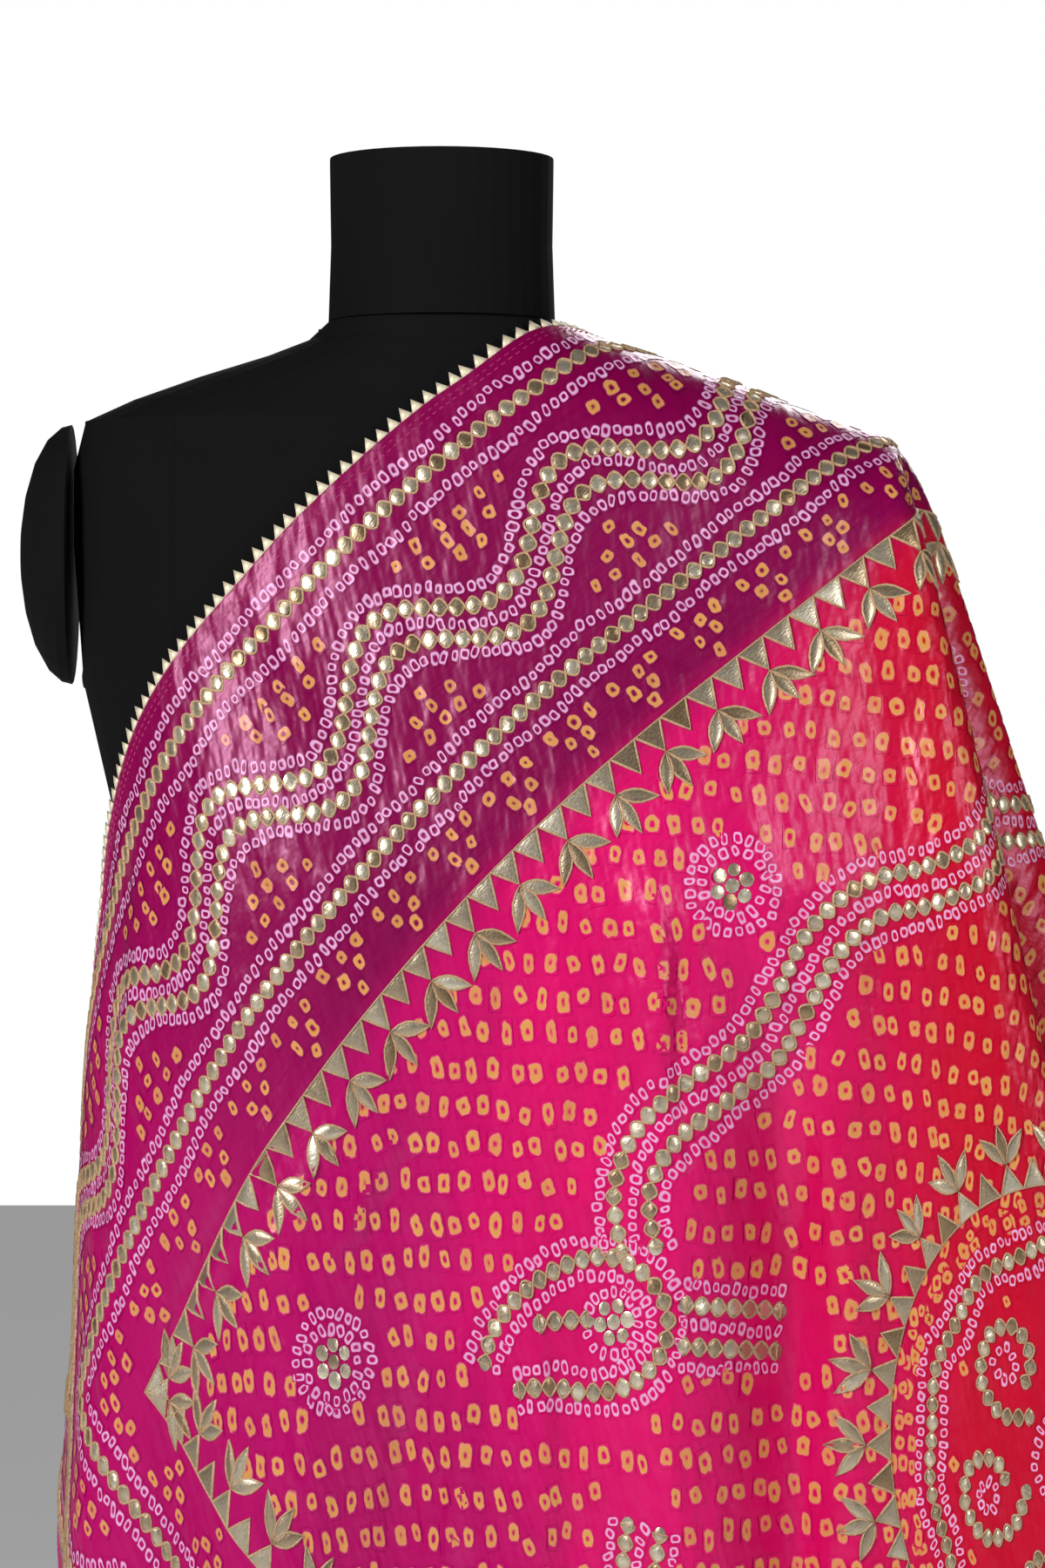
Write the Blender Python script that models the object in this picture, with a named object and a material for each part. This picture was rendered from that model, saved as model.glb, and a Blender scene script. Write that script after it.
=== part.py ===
"""Bandhani cloth draped over one shoulder of a plain dress form on its stand.

Metres, +Z up. The origin is on the floor, under the middle of the form. The form looks along -Y,
so its own left shoulder, the one under the cloth, is at +X.
"""

import math

import bmesh
import bpy
import numpy as np
from mathutils import Vector
from mathutils.bvhtree import BVHTree

# ---------------------------------------------------------------- driving sizes
NECK_TOP = 1.66
GAP = 0.0003
SHARP_ANGLE = math.radians(40)

# the flat cloth: s runs along the length from the front end, w across from the trimmed edge
CLOTH_LENGTH = 2.00
CLOTH_WIDTH = 1.10
CLOTH_THICK = 0.0016
CLOTH_CLEAR = 0.0055
CELL_CLEAR = 0.75
CELLS_FRONT = 23
CELLS_OVER = 20
CELLS_BACK = 25
OVER_SHOULDER = (0.72, 0.98)
CELLS_WIDE = 28
TRIM_WIDTH = 0.0046
TRIM_THICK = 0.0014
SETTLE_ROUNDS = 3
SEARCH_REACH = 0.12

# how the flat cloth lies across the chest
EDGE_ANGLE = math.radians(38.3)
CHEST_S = 0.66
CHEST_DEPTH = 0.123
SAG_ACROSS = 0.41
SAG_DOWN = 0.27

# the shoulder that carries it
NECK_SIDE_X = 0.0765
SHOULDER_X = 0.2267
RIDGE_DEPTH = 0.0641
RIDGE_SLOPE = 0.345
TURN_RADIUS = 0.045
TURN_RISE = 0.028
TURN_REACH = 0.080
FRONT_NARROWS = 0.30
BACK_NARROWS = 0.15
SHOULDER_S = 0.843
SHOULDER_W = 0.134
RIDGE_SKEW = 0.641
CAPE_ANGLE = math.radians(128.3)

# depth below the neck top: half widths and half depths of the draped cloth
DRAPE_COLUMNS = ("depth", "left", "front", "back")
DRAPE = (
    (0.08, 0.190, 0.050, 0.062),
    (0.14, 0.190, 0.064, 0.072),
    (0.20, 0.190, 0.084, 0.092),
    (0.27, 0.186, 0.112, 0.104),
    (0.33, 0.177, 0.133, 0.108),
    (0.38, 0.174, 0.140, 0.106),
    (0.45, 0.181, 0.138, 0.104),
    (0.58, 0.190, 0.132, 0.112),
    (0.70, 0.201, 0.128, 0.124),
    (0.90, 0.210, 0.126, 0.138),
    (1.20, 0.216, 0.128, 0.156),
    (1.60, 0.220, 0.130, 0.178),
)

# the hanging folds beside the arm, from the front layer round to the back layer:
# out is the reach per metre of hang, back the share of the way from front to back
# columns: out, back
CAPE = (
    (0.00, 0.00),
    (0.13, -0.03),
    (0.21, 0.02),
    (0.20, 0.12),
    (0.10, 0.19),
    (0.03, 0.25),
    (0.08, 0.33),
    (0.21, 0.36),
    (0.30, 0.43),
    (0.27, 0.53),
    (0.13, 0.58),
    (0.06, 0.65),
    (0.10, 0.73),
    (0.21, 0.75),
    (0.27, 0.81),
    (0.22, 0.90),
    (0.09, 0.95),
    (0.00, 1.00),
)
CAPE_EASE = 0.34
EASE_FROM, EASE_OVER = 0.5, 1.1
CAPE_LAYER = 0.24
CAPE_FRONT_SHARE = 0.70
CAPE_BACK_SHARE = 0.85
CAPE_BULGE = 0.010
CAPE_JOIN = 0.08
BACK_FLARE = 0.11

# long upright folds: where across, how far down each starts and is full, how wide, how proud
# columns: across, lean, start, full, width, proud
FOLDS = (
    (0.108, 0.02, 0.30, 0.46, 0.020, 0.012),
    (0.168, 0.02, 0.36, 0.58, 0.019, -0.034),
    (0.035, -0.02, 0.44, 0.70, 0.026, 0.009),
    (-0.012, -0.03, 0.46, 0.72, 0.020, -0.010),
    (-0.060, -0.05, 0.44, 0.66, 0.022, 0.008),
    (-0.118, -0.07, 0.42, 0.64, 0.020, -0.009),
    (-0.170, -0.08, 0.46, 0.70, 0.022, 0.008),
    (-0.235, -0.08, 0.50, 0.80, 0.026, -0.010),
)
BACK_FOLDS = (
    (0.100, 0.00, 0.30, 0.60, 0.018, 0.010),
    (0.142, 0.01, 0.34, 0.70, 0.016, -0.010),
    (0.185, 0.02, 0.32, 0.60, 0.018, 0.012),
)

# the form: sections of the torso
# columns: depth, half_width, front, back, power
TORSO = (
    (0.0843, 0.0585, 0.0560, 0.0560, 2.0),
    (0.0940, 0.0690, 0.0580, 0.0600, 2.0),
    (0.1020, 0.0900, 0.0600, 0.0640, 2.0),
    (0.1130, 0.1260, 0.0640, 0.0680, 2.0),
    (0.1250, 0.1600, 0.0680, 0.0740, 2.1),
    (0.1360, 0.1840, 0.0730, 0.0800, 2.2),
    (0.1600, 0.1900, 0.0820, 0.0880, 2.3),
    (0.2000, 0.1900, 0.0930, 0.0920, 2.4),
    (0.2700, 0.1850, 0.1080, 0.0960, 2.4),
    (0.3300, 0.1710, 0.1220, 0.0950, 2.3),
    (0.3800, 0.1590, 0.1250, 0.0900, 2.2),
    (0.4300, 0.1450, 0.1120, 0.0830, 2.2),
    (0.5000, 0.1280, 0.0930, 0.0760, 2.2),
    (0.5600, 0.1330, 0.0920, 0.0820, 2.2),
    (0.6300, 0.1550, 0.1000, 0.0960, 2.2),
    (0.7000, 0.1740, 0.1080, 0.1100, 2.2),
    (0.7600, 0.1780, 0.1080, 0.1120, 2.2),
    (0.8000, 0.1740, 0.1040, 0.1080, 2.2),
)
TORSO_SIDES = 40
NECK_RADIUS = 0.0578
NECK_DOME = 0.0028
ARM_DEPTH = 0.204
ARM_HALF_HEIGHT = 0.067
ARM_HALF_DEPTH = 0.050
ARM_REACH = 0.0265
ARM_PLANE_X = 0.1906
POLE_RADIUS = 0.0125
BASE_RADIUS = 0.175
BASE_THICK = 0.018
BASE_ROUND = 0.004
SOCKET_RADIUS = 0.026
SOCKET_HEIGHT = 0.0225
POLE_SIDES = 24
BASE_SIDES = 48


# ---------------------------------------------------------------- helpers
def clear_scene():
    for item in list(bpy.data.objects):
        bpy.data.objects.remove(item, do_unlink=True)


def material(name, colour, roughness, metallic=0.0):
    made = bpy.data.materials.new(name)
    made.use_nodes = True
    shader = made.node_tree.nodes["Principled BSDF"]
    shader.inputs["Base Color"].default_value = (*colour, 1.0)
    shader.inputs["Roughness"].default_value = roughness
    shader.inputs["Metallic"].default_value = metallic
    return made


def place(name, verts, faces, finish):
    mesh = bpy.data.meshes.new(name)
    mesh.from_pydata([tuple(v) for v in verts], [], [tuple(f) for f in faces])
    mesh.validate()
    solid = bmesh.new()
    solid.from_mesh(mesh)
    bmesh.ops.recalc_face_normals(solid, faces=solid.faces)
    solid.to_mesh(mesh)
    solid.free()
    mesh.shade_smooth()
    mesh.set_sharp_from_angle(angle=SHARP_ANGLE)
    mesh.materials.append(finish)
    made = bpy.data.objects.new(name, mesh)
    bpy.context.collection.objects.link(made)
    return made


def ring_stack(rings):
    """Side faces between rings of points, with both ends closed by a fan."""
    count = len(rings[0])
    verts = [point for ring in rings for point in ring]
    faces = []
    for level in range(len(rings) - 1):
        for i in range(count):
            j = (i + 1) % count
            a = level * count
            b = a + count
            faces.append((a + i, a + j, b + j, b + i))
    for start, ring in ((0, rings[0]), ((len(rings) - 1) * count, rings[-1])):
        middle = len(verts)
        verts.append(np.mean(ring, axis=0))
        faces += [(start + i, start + (i + 1) % count, middle) for i in range(count)]
    return verts, faces


def turned(profile, sides):
    """Rings about an upright axis from (radius, height) pairs."""
    turns = np.linspace(0, 2 * math.pi, sides, endpoint=False)
    return [[(r * math.cos(t), r * math.sin(t), z) for t in turns] for r, z in profile]


# ---------------------------------------------------------------- the form
def build_torso(finish):
    turns = np.linspace(0, 2 * math.pi, TORSO_SIDES, endpoint=False)
    rings = []
    for depth, half_width, front, back, power in TORSO:
        ring = []
        for turn in turns:
            c, s = math.cos(turn), math.sin(turn)
            x = half_width * math.copysign(abs(c) ** (2 / power), c)
            reach = back if s > 0 else front
            y = reach * math.copysign(abs(s) ** (2 / power), s)
            ring.append((x, y, NECK_TOP - depth))
        rings.append(ring)
    return place("form_torso", *ring_stack(rings), finish)


def build_neck(finish):
    top = [
        (NECK_RADIUS * share, NECK_TOP + NECK_DOME * (1 - share**2))
        for share in (0.25, 0.55, 0.8, 0.95, 1.0)
    ]
    foot = NECK_TOP - TORSO[0][0] + GAP
    side = [
        (NECK_RADIUS, NECK_TOP - 0.004),
        (NECK_RADIUS - 0.0006, NECK_TOP - 0.045),
        (TORSO[0][1], foot),
    ]
    return place("form_neck", *ring_stack(turned(top + side, TORSO_SIDES)), finish)


def arm_rings(side, shares):
    """Upright oval rings, share 0 on the armhole and 1 at the furthest reach."""
    rings = []
    for share in shares:
        size = math.sqrt(1 - share**2)
        x = side * (ARM_PLANE_X + GAP + ARM_REACH * share)
        ring = []
        for turn in np.linspace(0, 2 * math.pi, 28, endpoint=False):
            y = ARM_HALF_DEPTH * size * math.cos(turn)
            z = NECK_TOP - ARM_DEPTH + ARM_HALF_HEIGHT * size * math.sin(turn)
            ring.append((x, y, z))
        rings.append(ring)
    return rings


def build_arm(name, side, finish):
    """The padded oval that closes an armhole."""
    return place(name, *ring_stack(arm_rings(side, (0.0, 0.2, 0.45, 0.7, 0.88, 0.97))), finish)


def build_stand(metal):
    torso_foot = NECK_TOP - TORSO[-1][0]
    seat = BASE_THICK + SOCKET_HEIGHT
    pole = turned([(POLE_RADIUS, torso_foot - GAP), (POLE_RADIUS, seat)], POLE_SIDES)
    place("stand_pole", *ring_stack(pole), metal)
    profile = [
        (BASE_RADIUS, 0.0),
        (BASE_RADIUS, BASE_THICK * 0.6),
        (BASE_RADIUS - BASE_ROUND, BASE_THICK),
        (SOCKET_RADIUS + BASE_ROUND, BASE_THICK + BASE_ROUND),
        (SOCKET_RADIUS, BASE_THICK + 2 * BASE_ROUND),
        (SOCKET_RADIUS - BASE_ROUND, seat - GAP),
    ]
    place("stand_base", *ring_stack(turned(profile, BASE_SIDES)), metal)


# ---------------------------------------------------------------- the drape
def column(table, name, depth):
    spots = [row[0] for row in table]
    values = [row[DRAPE_COLUMNS.index(name)] for row in table]
    return np.interp(depth, spots, values)


def rounded_drop(path):
    """How far a path of this length over the shoulder goes down."""
    bend = TURN_RADIUS * math.pi / 2
    curved = TURN_RADIUS * (1 - np.cos(np.clip(path, 0, bend) / TURN_RADIUS))
    return curved + np.clip(path - bend, 0, None)


def leaving_ridge(path):
    """0 on the top of the shoulder, 1 where the cloth has turned down."""
    return np.sin(np.clip(path / TURN_REACH, 0, 1) * math.pi / 2)


def cape_curve(hang, layer):
    """The plan curve of the hanging folds at one hang, as out, back share and running length."""
    knots = np.array(CAPE)
    count = len(knots)
    fine = []
    for i in range(count - 1):
        before, here = knots[max(i - 1, 0)], knots[i]
        there, after = knots[i + 1], knots[min(i + 2, count - 1)]
        for t in np.linspace(0, 1, 12, endpoint=False):
            fine.append(
                0.5
                * (
                    2 * here
                    + (there - before) * t
                    + (2 * before - 5 * here + 4 * there - after) * t**2
                    + (3 * here - before - 3 * there + after) * t**3
                )
            )
    fine.append(knots[-1])
    fine = np.array(fine)
    steps = np.hypot(np.diff(fine[:, 0]) * hang, np.diff(fine[:, 1]) * layer)
    run = np.concatenate([[0], np.cumsum(steps)])
    return fine[:, 0], fine[:, 1], run / run[-1]


def cape_place(hang, share, layer):
    """Looks up out and back share for each point, between curves made at a few hangs."""
    levels = np.linspace(0.02, 1.6, 24)
    out = np.zeros_like(hang)
    back = np.zeros_like(hang)
    curves = [cape_curve(level, layer) for level in levels]
    spot = np.clip((hang - levels[0]) / (levels[1] - levels[0]), 0, len(levels) - 1.001)
    low = spot.astype(int)
    part = spot - low
    for i, (line_out, line_back, run) in enumerate(curves):
        for offset, weight in ((0, 1 - part), (1, part)):
            here = low + offset == i
            out[here] += (weight * np.interp(share, run, line_out))[here]
            back[here] += (weight * np.interp(share, run, line_back))[here]
    return out, back


def upright_folds(table, across, depth):
    total = np.zeros_like(across)
    for where, lean, start, full, width, proud in table:
        grown = np.clip((depth - start) / (full - start), 0, 1)
        grown = grown * grown * (3 - 2 * grown)
        middle = where + lean * (depth - start)
        total += proud * grown * np.exp(-(((across - middle) / width) ** 2))
    return total


def drape(s, w):
    """The place in space of a spot of the flat cloth, before it is pushed clear of the form."""
    cos_a, sin_a = math.cos(EDGE_ANGLE), math.sin(EDGE_ANGLE)
    short = np.clip(CHEST_S - s, 0, None) ** 2
    across = cos_a * (s - CHEST_S) + sin_a * w + SAG_ACROSS * short
    flat_depth = CHEST_DEPTH - sin_a * (s - CHEST_S) + cos_a * w + SAG_DOWN * short

    shoulder_depth = RIDGE_DEPTH + RIDGE_SLOPE * SHOULDER_X
    from_x = across - SHOULDER_X
    from_depth = flat_depth - (shoulder_depth - TURN_RISE)
    hang = np.hypot(from_x, from_depth)
    angle = np.arctan2(from_x, from_depth)
    ridge_s = SHOULDER_S - (SHOULDER_W - w) * RIDGE_SKEW
    behind = (w < SHOULDER_W) & (s > ridge_s)
    beside = (~behind) & (angle > 0)

    # in front: a flat chest that turns round the form's right side
    ridge = RIDGE_DEPTH + RIDGE_SLOPE * across
    path = flat_depth - (ridge - TURN_RISE)
    depth_f = ridge + rounded_drop(path)
    front = column(DRAPE, "front", depth_f)
    back = column(DRAPE, "back", depth_f)
    left = column(DRAPE, "left", depth_f)
    radius = (front + back) / 2
    flat_part = left - radius
    proud = upright_folds(FOLDS, across, depth_f)
    turn = np.clip((-across - flat_part) / radius, 0, math.pi)
    round_x = -(flat_part + (radius + proud) * np.sin(turn))
    round_y = (back - front) / 2 - (radius + proud) * np.cos(turn)
    level_y = -front * (1 - FRONT_NARROWS * np.clip(across / SHOULDER_X, 0, 1.3) ** 3) - proud
    on_left = across < -flat_part
    x_f = np.where(on_left, round_x, across)
    y_f = np.where(on_left, round_y, level_y * leaving_ridge(path))

    # beside the arm: hanging folds that fan out from the tip of the shoulder
    share = np.clip(angle / CAPE_ANGLE, 0, 1)
    out, back_share = cape_place(hang, share, CAPE_LAYER)
    out = out * (1 - CAPE_EASE * np.clip((hang - EASE_FROM) / EASE_OVER, 0, 1))
    drop = shoulder_depth + rounded_drop(hang) * np.sqrt(1 - out**2)
    turned_down = leaving_ridge(hang)
    y_front = -CAPE_FRONT_SHARE * column(DRAPE, "front", drop) * turned_down
    y_back = CAPE_BACK_SHARE * column(DRAPE, "back", drop) + BACK_FLARE * hang
    y_back = y_back * turned_down
    bulge = CAPE_BULGE * np.sin(np.pi * np.clip(back_share, 0, 1)) * turned_down
    x_c = SHOULDER_X + out * hang + bulge
    y_c = y_front + (y_back - y_front) * back_share
    edge_fold = upright_folds(FOLDS, across, drop)
    y_c = y_c - edge_fold * np.clip(1 - share / CAPE_JOIN, 0, 1)

    # behind: straight down the back
    path_b = s - ridge_s
    x_b = NECK_SIDE_X + (SHOULDER_X - NECK_SIDE_X) * w / SHOULDER_W
    depth_b = RIDGE_DEPTH + RIDGE_SLOPE * x_b + rounded_drop(path_b)
    y_b = column(DRAPE, "back", depth_b)
    y_b = y_b * (1 - BACK_NARROWS * np.clip(x_b / SHOULDER_X, 0, 1) ** 3)
    flare = np.clip((x_b - NECK_SIDE_X) / (SHOULDER_X - NECK_SIDE_X), 0, 1) ** 2
    y_b = y_b + BACK_FLARE * np.clip(path_b, 0, None) * flare
    y_b = (y_b + upright_folds(BACK_FOLDS, x_b, depth_b)) * leaving_ridge(path_b)

    x = np.where(behind, x_b, np.where(beside, x_c, x_f))
    y = np.where(behind, y_b, np.where(beside, y_c, y_f))
    depth = np.where(behind, depth_b, np.where(beside, drop, depth_f))
    return np.stack([x, y, NECK_TOP - depth], axis=-1)


def smooth_grid(grid, rounds):
    for _ in range(rounds):
        inner = grid[1:-1, 1:-1]
        around = grid[2:, 1:-1] + grid[:-2, 1:-1] + grid[1:-1, 2:] + grid[1:-1, :-2]
        grid[1:-1, 1:-1] = 0.5 * inner + 0.125 * around
    return grid


def outline(item):
    mesh = item.data
    return [v.co.copy() for v in mesh.vertices], [tuple(p.vertices) for p in mesh.polygons]


def arm_outline(side):
    """The arm's oval carried on into the torso, so that nothing is pushed inwards off its flat."""
    shares = (-0.97, -0.88, -0.7, -0.45, 0.0, 0.2, 0.45, 0.7, 0.88, 0.97)
    verts, faces = ring_stack(arm_rings(side, shares))
    if side < 0:
        faces = [tuple(reversed(face)) for face in faces]
    return [Vector(v) for v in verts], faces


def shortage(point, trees, clear):
    """The move that takes a point clear of every solid."""
    spot = Vector(point)
    for tree in trees:
        near, normal, _, gap = tree.find_nearest(spot, clear + SEARCH_REACH)
        if near is None:
            continue
        signed = gap if (spot - near).dot(normal) >= 0 else -gap
        if signed < clear:
            spot = near + normal * clear
    return np.array(spot) - point


def push_clear(grid, outlines, clear):
    """Moves the grid's points out of the solids, and then its cells, whose middles are lower."""
    trees = [BVHTree.FromPolygons(*shape) for shape in outlines]
    rows, cols = grid.shape[:2]
    for i in range(rows):
        for j in range(cols):
            grid[i, j] += shortage(grid[i, j], trees, clear)
    for i in range(rows - 1):
        for j in range(cols - 1):
            cell = grid[i : i + 2, j : j + 2]
            cell += shortage(cell.mean(axis=(0, 1)), trees, clear * CELL_CLEAR)
    return grid


def sheet_normals(grid):
    along = np.gradient(grid, axis=0)
    over = np.gradient(grid, axis=1)
    normal = np.cross(along, over)
    return normal / np.maximum(np.linalg.norm(normal, axis=-1, keepdims=True), 1e-9)


def thick_sheet(name, grid, normal, thick, finish):
    """A closed solid about a grid of points."""
    rows, cols = grid.shape[:2]
    verts = np.concatenate(
        [(grid + normal * thick / 2).reshape(-1, 3), (grid - normal * thick / 2).reshape(-1, 3)]
    )
    lower = rows * cols
    faces = []
    for i in range(rows - 1):
        for j in range(cols - 1):
            a, b = i * cols + j, i * cols + j + 1
            c, d = a + cols, b + cols
            faces.append((a, c, d, b))
            faces.append((lower + a, lower + b, lower + d, lower + c))
    rim = list(range(cols))
    rim += [i * cols + cols - 1 for i in range(1, rows)]
    rim += [(rows - 1) * cols + j for j in range(cols - 2, -1, -1)]
    rim += [i * cols for i in range(rows - 2, 0, -1)]
    for k, here in enumerate(rim):
        there = rim[(k + 1) % len(rim)]
        faces.append((here, there, lower + there, lower + here))
    return place(name, verts, faces, finish)


def build_cloth(outlines, cloth_finish, trim_finish):
    start, end = OVER_SHOULDER
    s = np.concatenate(
        [
            np.linspace(0, start, CELLS_FRONT, endpoint=False),
            np.linspace(start, end, CELLS_OVER, endpoint=False),
            np.linspace(end, CLOTH_LENGTH, CELLS_BACK + 1),
        ]
    )
    w = np.linspace(0, CLOTH_WIDTH, CELLS_WIDE + 1)
    grid = drape(*np.meshgrid(s, w, indexing="ij"))
    for _ in range(SETTLE_ROUNDS):
        grid = push_clear(grid, outlines, CLOTH_CLEAR)
        grid = smooth_grid(grid, 1)
    grid = push_clear(grid, outlines, CLOTH_CLEAR)
    normal = sheet_normals(grid)
    thick_sheet("cloth_panel", grid, normal, CLOTH_THICK, cloth_finish)

    # the trim carries on from the cloth's edge, in the cloth's own surface
    outward = grid[:, 0] - grid[:, 1]
    outward /= np.linalg.norm(outward, axis=-1, keepdims=True)
    inner = grid[:, 0] + outward * GAP * 2
    outer = inner + outward * TRIM_WIDTH
    strip = np.stack([outer, inner], axis=1)
    strip_normal = np.repeat(normal[:, :1], 2, axis=1)
    thick_sheet("gota_edge_trim", strip, strip_normal, TRIM_THICK, trim_finish)


def main():
    clear_scene()
    black_cloth = material("form_black_cloth", (0.012, 0.012, 0.013), 0.85)
    stand_metal = material("stand_metal", (0.02, 0.02, 0.022), 0.4, 0.6)
    satin = material("bandhani_satin", (0.55, 0.01, 0.18), 0.42)
    gota = material("gota_gold", (0.72, 0.62, 0.42), 0.35, 0.6)
    torso = build_torso(black_cloth)
    neck = build_neck(black_cloth)
    build_arm("form_arm_cap_right", -1, black_cloth)
    build_arm("form_arm_cap_left", 1, black_cloth)
    build_stand(stand_metal)
    build_cloth([outline(torso), outline(neck), arm_outline(-1), arm_outline(1)], satin, gota)


main()
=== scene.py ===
"""The looks of the bandhani cloth on its dress form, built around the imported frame.

Metres, +Z up, the form looks along -Y. Flat places on the cloth are (s, w): s along its length
from the front end, w across from the trimmed edge.
"""

import math

import bpy
import numpy as np
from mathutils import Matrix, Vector
from mathutils.bvhtree import BVHTree


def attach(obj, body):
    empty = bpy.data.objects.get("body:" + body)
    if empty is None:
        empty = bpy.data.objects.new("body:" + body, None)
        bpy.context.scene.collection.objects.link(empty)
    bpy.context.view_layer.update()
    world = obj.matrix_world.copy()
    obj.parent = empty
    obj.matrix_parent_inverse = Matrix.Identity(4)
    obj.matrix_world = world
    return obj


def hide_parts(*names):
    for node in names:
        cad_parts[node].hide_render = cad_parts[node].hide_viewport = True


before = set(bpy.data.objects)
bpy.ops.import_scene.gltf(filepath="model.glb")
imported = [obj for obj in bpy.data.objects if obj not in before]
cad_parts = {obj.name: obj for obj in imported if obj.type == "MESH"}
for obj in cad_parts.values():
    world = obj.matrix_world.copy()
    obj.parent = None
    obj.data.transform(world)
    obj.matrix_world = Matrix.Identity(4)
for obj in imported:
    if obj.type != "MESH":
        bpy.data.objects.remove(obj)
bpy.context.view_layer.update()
rng = np.random.default_rng(7)

# ---------------------------------------------------------------- driving sizes
NECK_TOP = 1.66

# the flat cloth: s runs along the length from the front end, w across from the trimmed edge
CLOTH_LENGTH = 2.00
CLOTH_WIDTH = 1.10

# how the flat cloth lies across the chest
EDGE_ANGLE = math.radians(38.3)
CHEST_S = 0.66
CHEST_DEPTH = 0.123
SAG_ACROSS = 0.41
SAG_DOWN = 0.27

# the shoulder that carries it
NECK_SIDE_X = 0.0765
SHOULDER_X = 0.2267
RIDGE_DEPTH = 0.0641
RIDGE_SLOPE = 0.345
TURN_RADIUS = 0.045
TURN_RISE = 0.028
TURN_REACH = 0.080
FRONT_NARROWS = 0.30
BACK_NARROWS = 0.15
SHOULDER_S = 0.843
SHOULDER_W = 0.134
RIDGE_SKEW = 0.641
CAPE_ANGLE = math.radians(128.3)

# depth below the neck top: half widths and half depths of the draped cloth
DRAPE_COLUMNS = ("depth", "left", "front", "back")
DRAPE = (
    (0.08, 0.190, 0.050, 0.062),
    (0.14, 0.190, 0.064, 0.072),
    (0.20, 0.190, 0.084, 0.092),
    (0.27, 0.186, 0.112, 0.104),
    (0.33, 0.177, 0.133, 0.108),
    (0.38, 0.174, 0.140, 0.106),
    (0.45, 0.181, 0.138, 0.104),
    (0.58, 0.190, 0.132, 0.112),
    (0.70, 0.201, 0.128, 0.124),
    (0.90, 0.210, 0.126, 0.138),
    (1.20, 0.216, 0.128, 0.156),
    (1.60, 0.220, 0.130, 0.178),
)

# the hanging folds beside the arm, from the front layer round to the back layer:
# out is the reach per metre of hang, back the share of the way from front to back
# columns: out, back
CAPE = (
    (0.00, 0.00),
    (0.13, -0.03),
    (0.21, 0.02),
    (0.20, 0.12),
    (0.10, 0.19),
    (0.03, 0.25),
    (0.08, 0.33),
    (0.21, 0.36),
    (0.30, 0.43),
    (0.27, 0.53),
    (0.13, 0.58),
    (0.06, 0.65),
    (0.10, 0.73),
    (0.21, 0.75),
    (0.27, 0.81),
    (0.22, 0.90),
    (0.09, 0.95),
    (0.00, 1.00),
)
CAPE_EASE = 0.34
EASE_FROM, EASE_OVER = 0.5, 1.1
CAPE_LAYER = 0.24
CAPE_FRONT_SHARE = 0.70
CAPE_BACK_SHARE = 0.85
CAPE_BULGE = 0.010
CAPE_JOIN = 0.08
BACK_FLARE = 0.11

# long upright folds: where across, how far down each starts and is full, how wide, how proud
# columns: across, lean, start, full, width, proud
FOLDS = (
    (0.108, 0.02, 0.30, 0.46, 0.020, 0.012),
    (0.168, 0.02, 0.36, 0.58, 0.019, -0.034),
    (0.035, -0.02, 0.44, 0.70, 0.026, 0.009),
    (-0.012, -0.03, 0.46, 0.72, 0.020, -0.010),
    (-0.060, -0.05, 0.44, 0.66, 0.022, 0.008),
    (-0.118, -0.07, 0.42, 0.64, 0.020, -0.009),
    (-0.170, -0.08, 0.46, 0.70, 0.022, 0.008),
    (-0.235, -0.08, 0.50, 0.80, 0.026, -0.010),
)
BACK_FOLDS = (
    (0.100, 0.00, 0.30, 0.60, 0.018, 0.010),
    (0.142, 0.01, 0.34, 0.70, 0.016, -0.010),
    (0.185, 0.02, 0.32, 0.60, 0.018, 0.012),
)


# ---------------------------------------------------------------- the drape
def column(table, name, depth):
    spots = [row[0] for row in table]
    values = [row[DRAPE_COLUMNS.index(name)] for row in table]
    return np.interp(depth, spots, values)


def rounded_drop(path):
    """How far a path of this length over the shoulder goes down."""
    bend = TURN_RADIUS * math.pi / 2
    curved = TURN_RADIUS * (1 - np.cos(np.clip(path, 0, bend) / TURN_RADIUS))
    return curved + np.clip(path - bend, 0, None)


def leaving_ridge(path):
    """0 on the top of the shoulder, 1 where the cloth has turned down."""
    return np.sin(np.clip(path / TURN_REACH, 0, 1) * math.pi / 2)


def cape_curve(hang, layer):
    """The plan curve of the hanging folds at one hang, as out, back share and running length."""
    knots = np.array(CAPE)
    count = len(knots)
    fine = []
    for i in range(count - 1):
        before, here = knots[max(i - 1, 0)], knots[i]
        there, after = knots[i + 1], knots[min(i + 2, count - 1)]
        for t in np.linspace(0, 1, 12, endpoint=False):
            fine.append(
                0.5
                * (
                    2 * here
                    + (there - before) * t
                    + (2 * before - 5 * here + 4 * there - after) * t**2
                    + (3 * here - before - 3 * there + after) * t**3
                )
            )
    fine.append(knots[-1])
    fine = np.array(fine)
    steps = np.hypot(np.diff(fine[:, 0]) * hang, np.diff(fine[:, 1]) * layer)
    run = np.concatenate([[0], np.cumsum(steps)])
    return fine[:, 0], fine[:, 1], run / run[-1]


def cape_place(hang, share, layer):
    """Looks up out and back share for each point, between curves made at a few hangs."""
    levels = np.linspace(0.02, 1.6, 24)
    out = np.zeros_like(hang)
    back = np.zeros_like(hang)
    curves = [cape_curve(level, layer) for level in levels]
    spot = np.clip((hang - levels[0]) / (levels[1] - levels[0]), 0, len(levels) - 1.001)
    low = spot.astype(int)
    part = spot - low
    for i, (line_out, line_back, run) in enumerate(curves):
        for offset, weight in ((0, 1 - part), (1, part)):
            here = low + offset == i
            out[here] += (weight * np.interp(share, run, line_out))[here]
            back[here] += (weight * np.interp(share, run, line_back))[here]
    return out, back


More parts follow.
